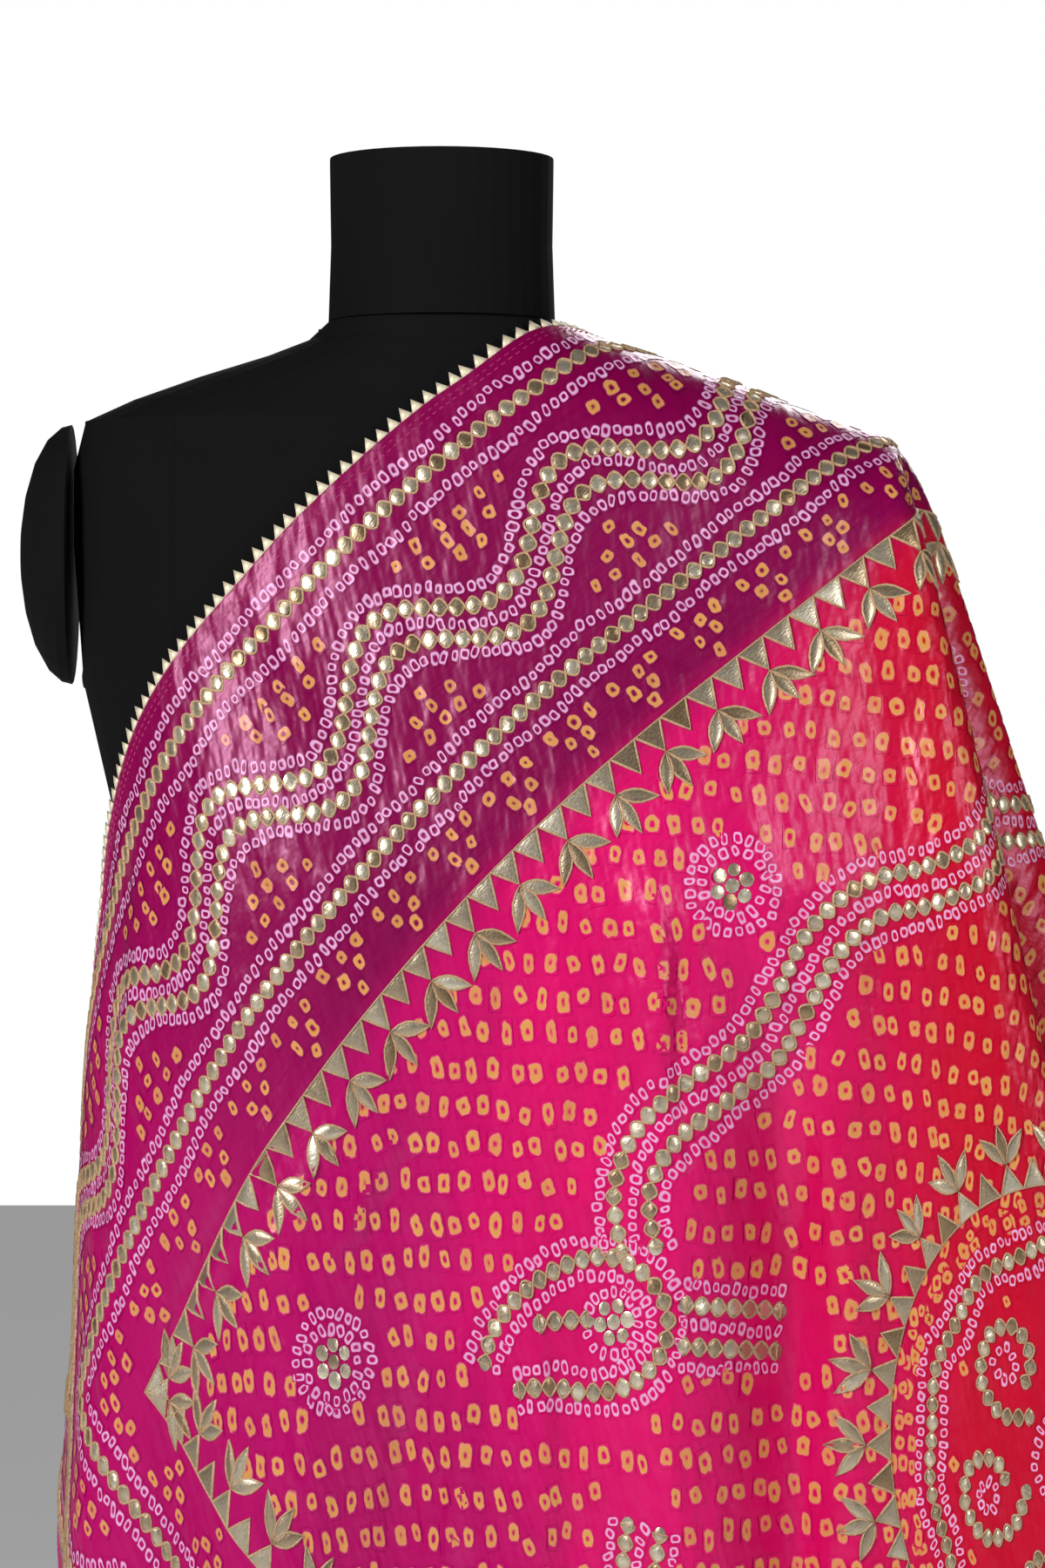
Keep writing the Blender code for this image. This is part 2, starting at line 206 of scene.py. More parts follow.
def upright_folds(table, across, depth):
    total = np.zeros_like(across)
    for where, lean, start, full, width, proud in table:
        grown = np.clip((depth - start) / (full - start), 0, 1)
        grown = grown * grown * (3 - 2 * grown)
        middle = where + lean * (depth - start)
        total += proud * grown * np.exp(-(((across - middle) / width) ** 2))
    return total


def drape(s, w):
    """The place in space of a spot of the flat cloth, before it is pushed clear of the form."""
    cos_a, sin_a = math.cos(EDGE_ANGLE), math.sin(EDGE_ANGLE)
    short = np.clip(CHEST_S - s, 0, None) ** 2
    across = cos_a * (s - CHEST_S) + sin_a * w + SAG_ACROSS * short
    flat_depth = CHEST_DEPTH - sin_a * (s - CHEST_S) + cos_a * w + SAG_DOWN * short

    shoulder_depth = RIDGE_DEPTH + RIDGE_SLOPE * SHOULDER_X
    from_x = across - SHOULDER_X
    from_depth = flat_depth - (shoulder_depth - TURN_RISE)
    hang = np.hypot(from_x, from_depth)
    angle = np.arctan2(from_x, from_depth)
    ridge_s = SHOULDER_S - (SHOULDER_W - w) * RIDGE_SKEW
    behind = (w < SHOULDER_W) & (s > ridge_s)
    beside = (~behind) & (angle > 0)

    # in front: a flat chest that turns round the form's right side
    ridge = RIDGE_DEPTH + RIDGE_SLOPE * across
    path = flat_depth - (ridge - TURN_RISE)
    depth_f = ridge + rounded_drop(path)
    front = column(DRAPE, "front", depth_f)
    back = column(DRAPE, "back", depth_f)
    left = column(DRAPE, "left", depth_f)
    radius = (front + back) / 2
    flat_part = left - radius
    proud = upright_folds(FOLDS, across, depth_f)
    turn = np.clip((-across - flat_part) / radius, 0, math.pi)
    round_x = -(flat_part + (radius + proud) * np.sin(turn))
    round_y = (back - front) / 2 - (radius + proud) * np.cos(turn)
    level_y = -front * (1 - FRONT_NARROWS * np.clip(across / SHOULDER_X, 0, 1.3) ** 3) - proud
    on_left = across < -flat_part
    x_f = np.where(on_left, round_x, across)
    y_f = np.where(on_left, round_y, level_y * leaving_ridge(path))

    # beside the arm: hanging folds that fan out from the tip of the shoulder
    share = np.clip(angle / CAPE_ANGLE, 0, 1)
    out, back_share = cape_place(hang, share, CAPE_LAYER)
    out = out * (1 - CAPE_EASE * np.clip((hang - EASE_FROM) / EASE_OVER, 0, 1))
    drop = shoulder_depth + rounded_drop(hang) * np.sqrt(1 - out**2)
    turned_down = leaving_ridge(hang)
    y_front = -CAPE_FRONT_SHARE * column(DRAPE, "front", drop) * turned_down
    y_back = CAPE_BACK_SHARE * column(DRAPE, "back", drop) + BACK_FLARE * hang
    y_back = y_back * turned_down
    bulge = CAPE_BULGE * np.sin(np.pi * np.clip(back_share, 0, 1)) * turned_down
    x_c = SHOULDER_X + out * hang + bulge
    y_c = y_front + (y_back - y_front) * back_share
    edge_fold = upright_folds(FOLDS, across, drop)
    y_c = y_c - edge_fold * np.clip(1 - share / CAPE_JOIN, 0, 1)

    # behind: straight down the back
    path_b = s - ridge_s
    x_b = NECK_SIDE_X + (SHOULDER_X - NECK_SIDE_X) * w / SHOULDER_W
    depth_b = RIDGE_DEPTH + RIDGE_SLOPE * x_b + rounded_drop(path_b)
    y_b = column(DRAPE, "back", depth_b)
    y_b = y_b * (1 - BACK_NARROWS * np.clip(x_b / SHOULDER_X, 0, 1) ** 3)
    flare = np.clip((x_b - NECK_SIDE_X) / (SHOULDER_X - NECK_SIDE_X), 0, 1) ** 2
    y_b = y_b + BACK_FLARE * np.clip(path_b, 0, None) * flare
    y_b = (y_b + upright_folds(BACK_FOLDS, x_b, depth_b)) * leaving_ridge(path_b)

    x = np.where(behind, x_b, np.where(beside, x_c, x_f))
    y = np.where(behind, y_b, np.where(beside, y_c, y_f))
    depth = np.where(behind, depth_b, np.where(beside, drop, depth_f))
    return np.stack([x, y, NECK_TOP - depth], axis=-1)


# ---------------------------------------------------------------- the fine sheet
SHEET_S = 420
SHEET_W = 232
SHEET_CLEAR = 0.0035
# how far off the form is looked for, and the depth below which there is none
SEARCH_REACH = 0.06
FORM_DEPTH = 0.86

# small tension creases: x, z of one end, x, z of the other, half width, proud (all metres)
CREASES = (
    (-0.075, 1.185, -0.130, 1.060, 0.0045, 0.0035),
    (-0.060, 1.190, -0.112, 1.075, 0.0040, -0.0030),
    (-0.048, 1.180, -0.098, 1.085, 0.0038, 0.0026),
    (-0.092, 1.150, -0.140, 1.030, 0.0050, -0.0030),
    (-0.020, 1.175, -0.060, 1.095, 0.0045, 0.0022),
    (-0.006, 1.165, -0.040, 1.090, 0.0040, -0.0020),
    (0.104, 1.290, 0.108, 1.190, 0.0050, 0.0050),
    (0.090, 1.275, 0.092, 1.170, 0.0055, -0.0036),
    (0.120, 1.270, 0.126, 1.150, 0.0060, -0.0030),
    (0.060, 1.260, 0.052, 1.150, 0.0060, 0.0024),
    (0.036, 1.240, 0.028, 1.130, 0.0060, -0.0020),
    (0.150, 1.330, 0.170, 1.200, 0.0070, 0.0030),
    (0.010, 1.080, 0.004, 0.930, 0.0070, 0.0030),
    (0.028, 1.100, 0.030, 0.940, 0.0065, -0.0030),
    (0.046, 1.090, 0.046, 0.920, 0.0060, 0.0028),
    (-0.014, 1.040, -0.016, 0.900, 0.0070, -0.0040),
    (-0.100, 1.000, -0.106, 0.890, 0.0070, 0.0026),
    (-0.145, 1.300, -0.165, 1.180, 0.0070, 0.0028),
    (-0.158, 1.250, -0.172, 1.120, 0.0060, -0.0026),
    (0.190, 1.180, 0.205, 1.020, 0.0080, 0.0030),
)


def smooth_step(x):
    x = np.clip(x, 0, 1)
    return x * x * (3 - 2 * x)


def normals_of(grid):
    normal = np.cross(np.gradient(grid, axis=0), np.gradient(grid, axis=1))
    return normal / np.maximum(np.linalg.norm(normal, axis=-1, keepdims=True), 1e-9)


def blurred(field, rounds):
    for _ in range(rounds):
        padded = np.pad(field, ((1, 1), (1, 1), (0, 0)), mode="edge")
        field = 0.5 * field + 0.125 * (
            padded[2:, 1:-1] + padded[:-2, 1:-1] + padded[1:-1, 2:] + padded[1:-1, :-2]
        )
    return field


def form_tree():
    """One search tree of the form's solids, without the arm caps' hidden flat sides."""
    verts, faces = [], []
    for name in ("form_torso", "form_neck", "form_arm_cap_left", "form_arm_cap_right"):
        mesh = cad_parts[name].data
        start = len(verts)
        verts += [v.co.copy() for v in mesh.vertices]
        for face in mesh.polygons:
            # an arm cap's flat side lies against the torso
            if "arm" not in name or abs(face.normal.x) < 0.999:
                faces.append([start + i for i in face.vertices])
    return BVHTree.FromPolygons(verts, faces)


def cleared(grid, tree, clear):
    """How far each point has to move to stay clear of the form."""
    move = np.zeros_like(grid)
    low = NECK_TOP - FORM_DEPTH
    for i, j in zip(*np.nonzero(grid[..., 2] > low)):
        spot = Vector(grid[i, j])
        near, normal, _, gap = tree.find_nearest(spot, SEARCH_REACH)
        if near is None:
            continue
        signed = gap if (spot - near).dot(normal) >= 0 else -gap
        if signed < clear:
            move[i, j] = np.array(near + normal * clear) - grid[i, j]
    return move


def fine_sheet():
    s = np.linspace(0, CLOTH_LENGTH, SHEET_S + 1)
    w = np.linspace(0, CLOTH_WIDTH, SHEET_W + 1)
    flat = np.stack(np.meshgrid(s, w, indexing="ij"), axis=-1)
    grid = drape(flat[..., 0], flat[..., 1])
    grid = blurred(grid, 10)
    tree = form_tree()
    move = cleared(grid, tree, SHEET_CLEAR + 0.002)
    grid = grid + blurred(move, 12)
    normal = normals_of(grid)
    sign = np.where(normal[..., 1:2] > 0, -1.0, 1.0)
    front = smooth_step((0.0 - grid[..., 1]) / 0.03)[..., None]
    front = front * smooth_step((SHOULDER_X + 0.03 - grid[..., 0]) / 0.04)[..., None]
    total = np.zeros(grid.shape[:2])
    here = grid[..., (0, 2)]
    for x0, z0, x1, z1, half, proud in CREASES:
        start, along = np.array((x0, z0)), np.array((x1 - x0, z1 - z0))
        length = math.hypot(*along)
        t = ((here - start) @ along) / length**2
        bow = 0.12 * length * np.sin(np.pi * np.clip(t, 0, 1)) * (1 if proud > 0 else -1) * 0.3
        side = ((here - start) @ np.array((along[1], -along[0]))) / length + bow
        fade = smooth_step((t + 0.15) / 0.4) * smooth_step((1.15 - t) / 0.5)
        total += proud * fade * np.exp(-((side / half) ** 2))
    grid = grid + normal * sign * front * total[..., None]
    for _ in range(2):
        move = cleared(grid, tree, SHEET_CLEAR)
        grid = grid + move
        grid = grid + blurred(move, 4) * 0.3
    return flat, grid


FLAT, GRID = fine_sheet()
NORMAL = normals_of(GRID)
# the shown side of the cloth is the one away from the form
if NORMAL[150, 60, 1] > 0:
    NORMAL = -NORMAL


def lookup(field, s, w):
    u = np.clip(s / CLOTH_LENGTH, 0, 1) * SHEET_S
    v = np.clip(w / CLOTH_WIDTH, 0, 1) * SHEET_W
    i = np.minimum(u.astype(int), SHEET_S - 1)
    j = np.minimum(v.astype(int), SHEET_W - 1)
    fu, fv = (u - i)[..., None], (v - j)[..., None]
    low = field[i, j] * (1 - fv) + field[i, j + 1] * fv
    high = field[i + 1, j] * (1 - fv) + field[i + 1, j + 1] * fv
    return low * (1 - fu) + high * fu


def on_cloth(s, w, lift):
    """Places in space of flat spots, lifted off the cloth."""
    normal = lookup(NORMAL, s, w)
    normal /= np.maximum(np.linalg.norm(normal, axis=-1, keepdims=True), 1e-9)
    lift = np.asarray(lift, float)
    return lookup(GRID, s, w) + normal * (lift[..., None] if lift.ndim else lift)


# ---------------------------------------------------------------- meshes
def add_mesh(name, verts, faces, material, flat=None, mark=None, smooth=True):
    verts, faces = np.asarray(verts, np.float32), np.asarray(faces, np.int32)
    mesh = bpy.data.meshes.new(name)
    mesh.vertices.add(len(verts))
    mesh.vertices.foreach_set("co", verts.ravel())
    sides = faces.shape[1]
    mesh.loops.add(faces.size)
    mesh.loops.foreach_set("vertex_index", faces.ravel())
    mesh.polygons.add(len(faces))
    mesh.polygons.foreach_set("loop_start", np.arange(len(faces), dtype=np.int32) * sides)
    mesh.update(calc_edges=True)
    if flat is not None:
        layer = mesh.uv_layers.new(name="OFBake")
        uv = 0.01 + np.asarray(flat, np.float32)[faces.ravel()] * 0.49
        layer.data.foreach_set("uv", uv.astype(np.float32).ravel())
    if mark is not None:
        colours = mesh.attributes.new("mark", "FLOAT_COLOR", "POINT")
        colours.data.foreach_set("color", np.asarray(mark, np.float32).ravel())
    if smooth:
        mesh.shade_smooth()
    mesh.materials.append(material)
    made = bpy.data.objects.new(name, mesh)
    bpy.context.scene.collection.objects.link(made)
    return made


class Heap:
    """Gathers many small copies of meshes into one."""

    def __init__(self):
        self.verts, self.faces, self.flat, self.mark, self.count = [], [], [], [], 0

    def add(self, s, w, lift, faces, mark):
        """s, w, lift: (copies, points); faces: (faces, corners) of one copy."""
        copies, points = s.shape
        self.verts.append(on_cloth(s, w, lift).reshape(-1, 3))
        self.flat.append(np.stack([s, w], axis=-1).reshape(-1, 2))
        self.mark.append(mark.reshape(-1, 4))
        steps = (np.arange(copies) * points + self.count)[:, None, None]
        self.faces.append((steps + np.asarray(faces)[None]).reshape(-1, len(faces[0])))
        self.count += copies * points

    def build(self, name, material, smooth=True):
        return add_mesh(
            name,
            np.concatenate(self.verts),
            np.concatenate(self.faces),
            material,
            np.concatenate(self.flat),
            np.concatenate(self.mark),
            smooth,
        )


# ---------------------------------------------------------------- flat layout
# distances of the border's lines from the edge
WHITE_LINES = (0.0205, 0.0445, 0.139, 0.161)
GOLD_LINES = (0.0315, 0.150)
ZIG_MIDDLE = 0.084
ZIG_SWING = 0.0165
ZIG_PERIOD = 0.125
ZIG_PEAK = 0.058
ZIG_WHITE = (-0.0105, 0.0095, 0.0285)
ZIG_GOLD = (0.0, 0.019)
CHAIN_LINE = 0.197
HALF_LENGTH = CLOTH_LENGTH / 2
HALF_WIDTH = CLOTH_WIDTH / 2

RING_PITCH = 0.0056
DISC_PITCH = 0.0087


def places_on(line, run, spots):
    """Places on a line at these running lengths."""
    return np.stack([np.interp(spots, run, line[:, k]) for k in (0, 1)], axis=-1)


def resample(points, pitch, closed=False):
    """Evenly spaced places on a line, with the line's direction at each."""
    points = np.asarray(points, float)
    steps = np.linalg.norm(np.diff(points, axis=0), axis=1)
    run = np.concatenate([[0], np.cumsum(steps)])
    count = max(int(round(run[-1] / pitch)), 1)
    spots = np.linspace(0, run[-1], count + 1)
    if closed:
        spots = spots[:-1]
    ahead = places_on(points, run, np.minimum(spots + pitch * 0.3, run[-1]))
    behind = places_on(points, run, np.maximum(spots - pitch * 0.3, 0))
    aim = ahead - behind
    return places_on(points, run, spots), np.arctan2(aim[:, 1], aim[:, 0])


def corner_line(offset, wave=0.0, reach=1.0):
    """A border line in one quarter: along the short edge, round the corner, along the long edge."""
    t = np.linspace(0, reach * HALF_LENGTH, 900)
    shift = ZIG_SWING * np.cos(2 * math.pi * (t - ZIG_PEAK) / ZIG_PERIOD)
    d = offset - wave * shift
    long_side = np.stack([t, d], axis=-1)[t > d]
    short_side = np.stack([d, t], axis=-1)[(t > d) & (t < HALF_WIDTH)]
    line = np.concatenate([short_side[::-1], long_side])
    for _ in range(60 if wave == 0 else 14):
        line[1:-1] = 0.5 * line[1:-1] + 0.25 * (line[2:] + line[:-2])
    return line


def smooth_line(knots, closed=False, steps=16):
    """A smooth (Catmull-Rom) line through knots."""
    knots = np.asarray(knots, float)
    count = len(knots)
    pick = (lambda i: knots[i % count]) if closed else (lambda i: knots[min(max(i, 0), count - 1)])
    line = []
    for i in range(count if closed else count - 1):
        p0, p1, p2, p3 = pick(i - 1), pick(i), pick(i + 1), pick(i + 2)
        for t in np.linspace(0, 1, steps, endpoint=False):
            line.append(
                0.5 * (2 * p1 + (p2 - p0) * t + (2 * p0 - 5 * p1 + 4 * p2 - p3) * t**2)
                + 0.5 * (3 * p1 - p0 - 3 * p2 + p3) * t**3
            )
    line.append(pick(count if closed else count - 1))
    return np.array(line)


def beside(line, offset):
    """A line at a distance from another one."""
    line = np.asarray(line, float)
    aim = np.gradient(line, axis=0)
    aim /= np.maximum(np.linalg.norm(aim, axis=1, keepdims=True), 1e-9)
    return line + offset * np.stack([-aim[:, 1], aim[:, 0]], axis=-1)


def circle(middle, radius, wave=0.0, lobes=8):
    turn = np.linspace(0, 2 * math.pi, 240)
    r = radius + wave * np.cos(lobes * turn)
    return np.stack([middle[0] + r * np.cos(turn), middle[1] + r * np.sin(turn)], axis=-1)


def mirrored(line):
    """The four quarters' copies of a line drawn in the first one."""
    line = np.asarray(line, float)
    a, b = line[:, 0], line[:, 1]
    return [
        np.stack([a, b], axis=-1),
        np.stack([CLOTH_LENGTH - a, b], axis=-1),
        np.stack([a, CLOTH_WIDTH - b], axis=-1),
        np.stack([CLOTH_LENGTH - a, CLOTH_WIDTH - b], axis=-1),
    ]


def swapped(line):
    """The copy of a line across the quarter's diagonal."""
    return np.asarray(line, float)[:, ::-1]


white_marks, yellow_marks, disc_spots, gold_runs = [], [], [], []
taken = []


def ring_row(line, closed=False, pitch=RING_PITCH, size=(0.0036, 0.0053)):
    """A row of tied white marks on each quarter's copy of a line."""
    for copy in mirrored(line):
        ring_line(copy, closed, pitch, size)


def ring_line(line, closed=False, pitch=RING_PITCH, size=(0.0036, 0.0053)):
    place, aim = resample(line, pitch, closed)
    wander = 0.0010 * np.sin(np.arange(len(place)) * 0.45 + rng.uniform(0, 6))
    across = wander + rng.normal(0, 0.0005, len(place))
    place = place + across[:, None] * np.stack([-np.sin(aim), np.cos(aim)], axis=-1)
    for (s, w), turn in zip(place, aim):
        white_marks.append(
            (
                s + rng.normal(0, 0.0003),
                w + rng.normal(0, 0.0003),
                turn + rng.normal(0, 0.22),
                size[0] * rng.uniform(0.75, 1.2),
                size[1] * rng.uniform(0.72, 1.15),
            )
        )


def disc_row(line, closed=False):
    for copy in mirrored(line):
        disc_line(copy, closed)


def disc_line(line, closed=False):
    place, aim = resample(line, DISC_PITCH, closed)
    disc_spots.extend((s, w, turn) for (s, w), turn in zip(place, aim))
    gold_runs.append((np.asarray(line, float), len(place) + (1 if closed else 0) - 1))


def block(middle, radius):
    """Keeps the field's yellow marks out of a round place, in every quarter."""
    for copy in mirrored([middle]):
        taken.append((copy[0][0], copy[0][1], radius))


def block_line(line, radius):
    place, _ = resample(line, radius)
    for copy in mirrored(place):
        taken.extend((s, w, radius) for s, w in copy)


# the border
for distance in WHITE_LINES:
    ring_row(corner_line(distance))
for distance in GOLD_LINES:
    disc_row(corner_line(distance))
for shift in ZIG_WHITE:
    ring_row(corner_line(ZIG_MIDDLE + shift, 1.0), pitch=0.0054)
for shift in ZIG_GOLD:
    disc_row(corner_line(ZIG_MIDDLE + shift, 1.0))


def yellow(s, w, turn=0.0, size=(0.0050, 0.0060), loose=0.0009):
    yellow_marks.append(
        (
            s + rng.normal(0, loose),
            w + rng.normal(0, loose),
            turn + rng.normal(0, 0.15),
            size[0] * rng.uniform(0.75, 1.15),
            size[1] * rng.uniform(0.78, 1.18),
        )
    )


def border_cluster(t, rows):
    """Rows of yellow marks about a place on both edges of each quarter: (distance, count, gap)."""
    for distance, count, gap in rows:
        for k in range(count):
            along = t + (k - (count - 1) / 2) * gap
            for a, b, high in ((along, distance, HALF_LENGTH), (distance, along, HALF_WIDTH)):
                if not distance + 0.004 < along < high:
                    continue
                for copy in mirrored([(a, b)]):
                    yellow(copy[0][0], copy[0][1])


for n in range(8):
    peak = ZIG_PEAK + n * ZIG_PERIOD
    border_cluster(peak + ZIG_PERIOD / 2, ((0.0555, 6, 0.0135), (0.0650, 4, 0.0130), (0.0735, 2, 0.0125)))
    border_cluster(peak, ((0.1085, 1, 0.01), (0.1175, 3, 0.0120), (0.1270, 5, 0.0120)))
for n in range(24):
    border_cluster(0.150 + 0.0415 * n, ((0.1705, 3, 0.0125), (0.1795, 2, 0.0120), (0.1880, 1, 0.0080)))


# the field's motifs, in the first quarter
FLOWER_RADIUS = 0.0079


def disc_ring(middle, first_turn):
    """Six discs round a place."""
    for k in range(6):
        turn = k * math.pi / 3 + first_turn
        s = middle[0] + FLOWER_RADIUS * math.cos(turn)
        w = middle[1] + FLOWER_RADIUS * math.sin(turn)
        disc_spots.append((s, w, turn + 1.57))


def rosette(middle):
    """A seven-disc flower in two rings of tied marks, in every quarter."""
    for copy in mirrored([middle]):
        s, w = copy[0]
        disc_spots.append((s, w, 0.0))
        disc_ring((s, w), 0.3)
        ring_line(circle((s, w), 0.0160), True, 0.0062)
        ring_line(circle((s, w), 0.0225), True, 0.0060)
        taken.append((s, w, 0.028))


def double_band(line):
    """Two gold chains with white rings between and on both sides."""
    for offset in (-0.0095, 0.0095):
        disc_row(beside(line, offset))
    for offset in (-0.0185, 0.0, 0.0185):
        ring_row(beside(line, offset), pitch=0.0056)
    block_line(line, 0.0245)


for spot in ((0.302, 0.286), (0.620, 0.283), (0.860, 0.285), (0.800, 0.470)):
    rosette(spot)
rosette((0.283, 0.470))

# the wavy band's knots and the mango's were worked out outside this script, not by a rule
WAVY = (
    (0.468, 0.378),
    (0.484, 0.356),
    (0.512, 0.346),
    (0.548, 0.350),
    (0.580, 0.354),
    (0.608, 0.346),
    (0.640, 0.334),
    (0.672, 0.334),
    (0.702, 0.348),
    (0.738, 0.356),
    (0.772, 0.348),
    (0.804, 0.334),
    (0.840, 0.334),
    (0.870, 0.348),
    (0.905, 0.356),
    (0.940, 0.348),
    (0.985, 0.340),
)
double_band(smooth_line(WAVY))
double_band(smooth_line(swapped(WAVY[:6])))
double_band(smooth_line(((0.462, 0.420), (0.480, 0.441), (0.497, 0.462))))

# the mango: an open outline with a flower and its curled stalk inside
MANGO = (
    (0.372, 0.374),
    (0.386, 0.386),
    (0.400, 0.404),
    (0.420, 0.418),
    (0.444, 0.420),
    (0.460, 0.408),
    (0.462, 0.386),
    (0.450, 0.366),
    (0.428, 0.353),
    (0.404, 0.346),
    (0.380, 0.346),
    (0.366, 0.352),
)
mango = smooth_line(MANGO)
disc_row(mango)
ring_row(beside(mango, -0.0085), pitch=0.0057)
ring_row(beside(mango, 0.0085), pitch=0.0057)
block((0.418, 0.385), 0.050)
block((0.385, 0.362), 0.030)
stalk = smooth_line(((0.402, 0.362), (0.412, 0.370), (0.424, 0.381)))
disc_row(stalk)
for copy in mirrored([(0.434, 0.392)]):
    disc_ring(copy[0], 0.6)
    disc_spots.append((copy[0][0], copy[0][1], 0.0))
    ring_line(circle(copy[0], 0.0150), True, 0.0060)

# the two round medallions, half a turn apart
MEDALLION = (0.612, 0.632)
MEDALLION_RADIUS = 0.138
# one curled leaf: out from the medallion's middle, and to the side
MEDALLION_LEAF = (
    (0.036, -0.006),
    (0.052, -0.020),
    (0.074, -0.018),
    (0.084, 0.002),
    (0.074, 0.018),
    (0.056, 0.016),
    (0.050, 0.004),
)
medallions = [MEDALLION, (CLOTH_LENGTH - MEDALLION[0], CLOTH_WIDTH - MEDALLION[1])]
for middle in medallions:
    ring_line(circle(middle, 0.117, 0.0015, 12), True)
    disc_line(circle(middle, 0.1075, 0.0015, 12), True)
    ring_line(circle(middle, 0.0985, 0.0030, 12), True)
    for k in range(6):
        turn = k * math.pi / 3 + 0.35
        c, n = math.cos(turn), math.sin(turn)
        leaf = smooth_line(MEDALLION_LEAF)
        leaf = np.stack(
            [middle[0] + leaf[:, 0] * c - leaf[:, 1] * n, middle[1] + leaf[:, 0] * n + leaf[:, 1] * c],
            axis=-1,
        )
        disc_line(leaf)
        ring_line(circle((middle[0] + 0.066 * c, middle[1] + 0.066 * n), 0.0075), True, 0.0058)
        for side in (-1, 1):
            spread = turn + 0.26 * side
            yellow(middle[0] + 0.090 * math.cos(spread), middle[1] + 0.090 * math.sin(spread))
    ring_line(circle(middle, 0.025), True, 0.0060)
    disc_spots.append((*middle, 0.0))
    disc_ring(middle, 0.0)
    taken.append((*middle, 0.120))

# the field's yellow marks, in rows on the bias
ROW_GAP = 0.0175
ROW_PITCH = 0.0118
FIELD_EDGE = 0.222
BIAS_TURN = math.radians(38.3)
blocked = np.array(taken)
bias = math.radians(45)
for row in range(-140, 141):
    for step in range(-190, 191):
        u = step * ROW_PITCH + (row % 2) * ROW_PITCH / 2
        v = row * ROW_GAP
        s = CLOTH_LENGTH / 2 + u * math.cos(bias) + v * math.sin(bias)
        w = CLOTH_WIDTH / 2 + u * math.sin(bias) - v * math.cos(bias)
        edge = min(s, CLOTH_LENGTH - s, w, CLOTH_WIDTH - w)
        if edge < FIELD_EDGE:
            continue
        if (np.hypot(blocked[:, 0] - s, blocked[:, 1] - w) < blocked[:, 2]).any():
            continue
        yellow(s, w, BIAS_TURN, (0.0056, 0.0080), 0.0012)
for middle in medallions:
    for r in (0.124, 0.131):
        for k in range(62):
            turn = 2 * math.pi * k / 62
            if rng.random() < 0.85:
                s, w = middle[0] + r * math.cos(turn), middle[1] + r * math.sin(turn)
                yellow(s, w, turn, (0.0052, 0.0058))


# ---------------------------------------------------------------- materials
def new_material(name):
    made = bpy.data.materials.new(name)
    made.use_nodes = True
    return made, made.node_tree, made.node_tree.nodes["Principled BSDF"]


class Graph:
    """Short names for the shader nodes used below."""

    def __init__(self, tree):
        self.tree = tree

    def node(self, kind, **settings):
        made = self.tree.nodes.new(kind)
        for key, value in settings.items():
            setattr(made, key, value)
        return made

    def feed(self, socket, value):
        if isinstance(value, (int, float, tuple)):
            socket.default_value = value
        else:
            self.tree.links.new(value, socket)

    def math(self, operation, *values, clamp=False):
        made = self.node("ShaderNodeMath", operation=operation, use_clamp=clamp)
        for socket, value in zip(made.inputs, values):
            self.feed(socket, value)
        return made.outputs[0]

    def step(self, value, low, high, out_low=0.0, out_high=1.0):
        made = self.node("ShaderNodeMapRange", interpolation_type="SMOOTHSTEP")
        for socket, item in zip(made.inputs, (value, low, high, out_low, out_high)):
            self.feed(socket, item)
        return made.outputs[0]

    def mix(self, share, first, second, blend="MIX"):
        made = self.node("ShaderNodeMix", data_type="RGBA", blend_type=blend)
        self.feed(made.inputs["Factor"], share)
        self.feed(made.inputs["A"], first)
        self.feed(made.inputs["B"], second)
        return made.outputs["Result"]

    def noise(self, vector, scale, detail=2.0, rough=0.5, dimensions="3D"):
        made = self.node("ShaderNodeTexNoise", noise_dimensions=dimensions)
        self.feed(made.inputs["Vector"], vector)
        made.inputs["Scale"].default_value = scale
        made.inputs["Detail"].default_value = detail
        made.inputs["Roughness"].default_value = rough
        return made.outputs["Fac"]

    def scaled(self, vector, scale):
        made = self.node("ShaderNodeMapping")
        self.feed(made.inputs["Vector"], vector)
        made.inputs["Scale"].default_value = scale
        return made.outputs["Vector"]

    def turned(self, vector, angle, scale):
        made = self.node("ShaderNodeMapping")
        self.feed(made.inputs["Vector"], vector)
        made.inputs["Rotation"].default_value = (0.0, 0.0, angle)
        stretched = self.node("ShaderNodeMapping")
        self.feed(stretched.inputs["Vector"], made.outputs["Vector"])
        stretched.inputs["Scale"].default_value = scale
        return stretched.outputs["Vector"]

    def bump(self, height, strength, distance, normal=None):
        made = self.node("ShaderNodeBump")
        made.inputs["Strength"].default_value = strength
        made.inputs["Distance"].default_value = distance
        self.feed(made.inputs["Height"], height)
        if normal is not None:
            self.feed(made.inputs["Normal"], normal)
        return made.outputs["Normal"]


WINE = (0.225, 0.0, 0.066, 1)
MAGENTA = (0.46, 0.0, 0.125, 1)
HOT_PINK = (0.70, 0.002, 0.135, 1)
CRIMSON = (0.56, 0.001, 0.022, 1)
DYE_WHITE = (0.72, 0.40, 0.66, 1)
DYE_YELLOW = (0.62, 0.30, 0.065, 1)


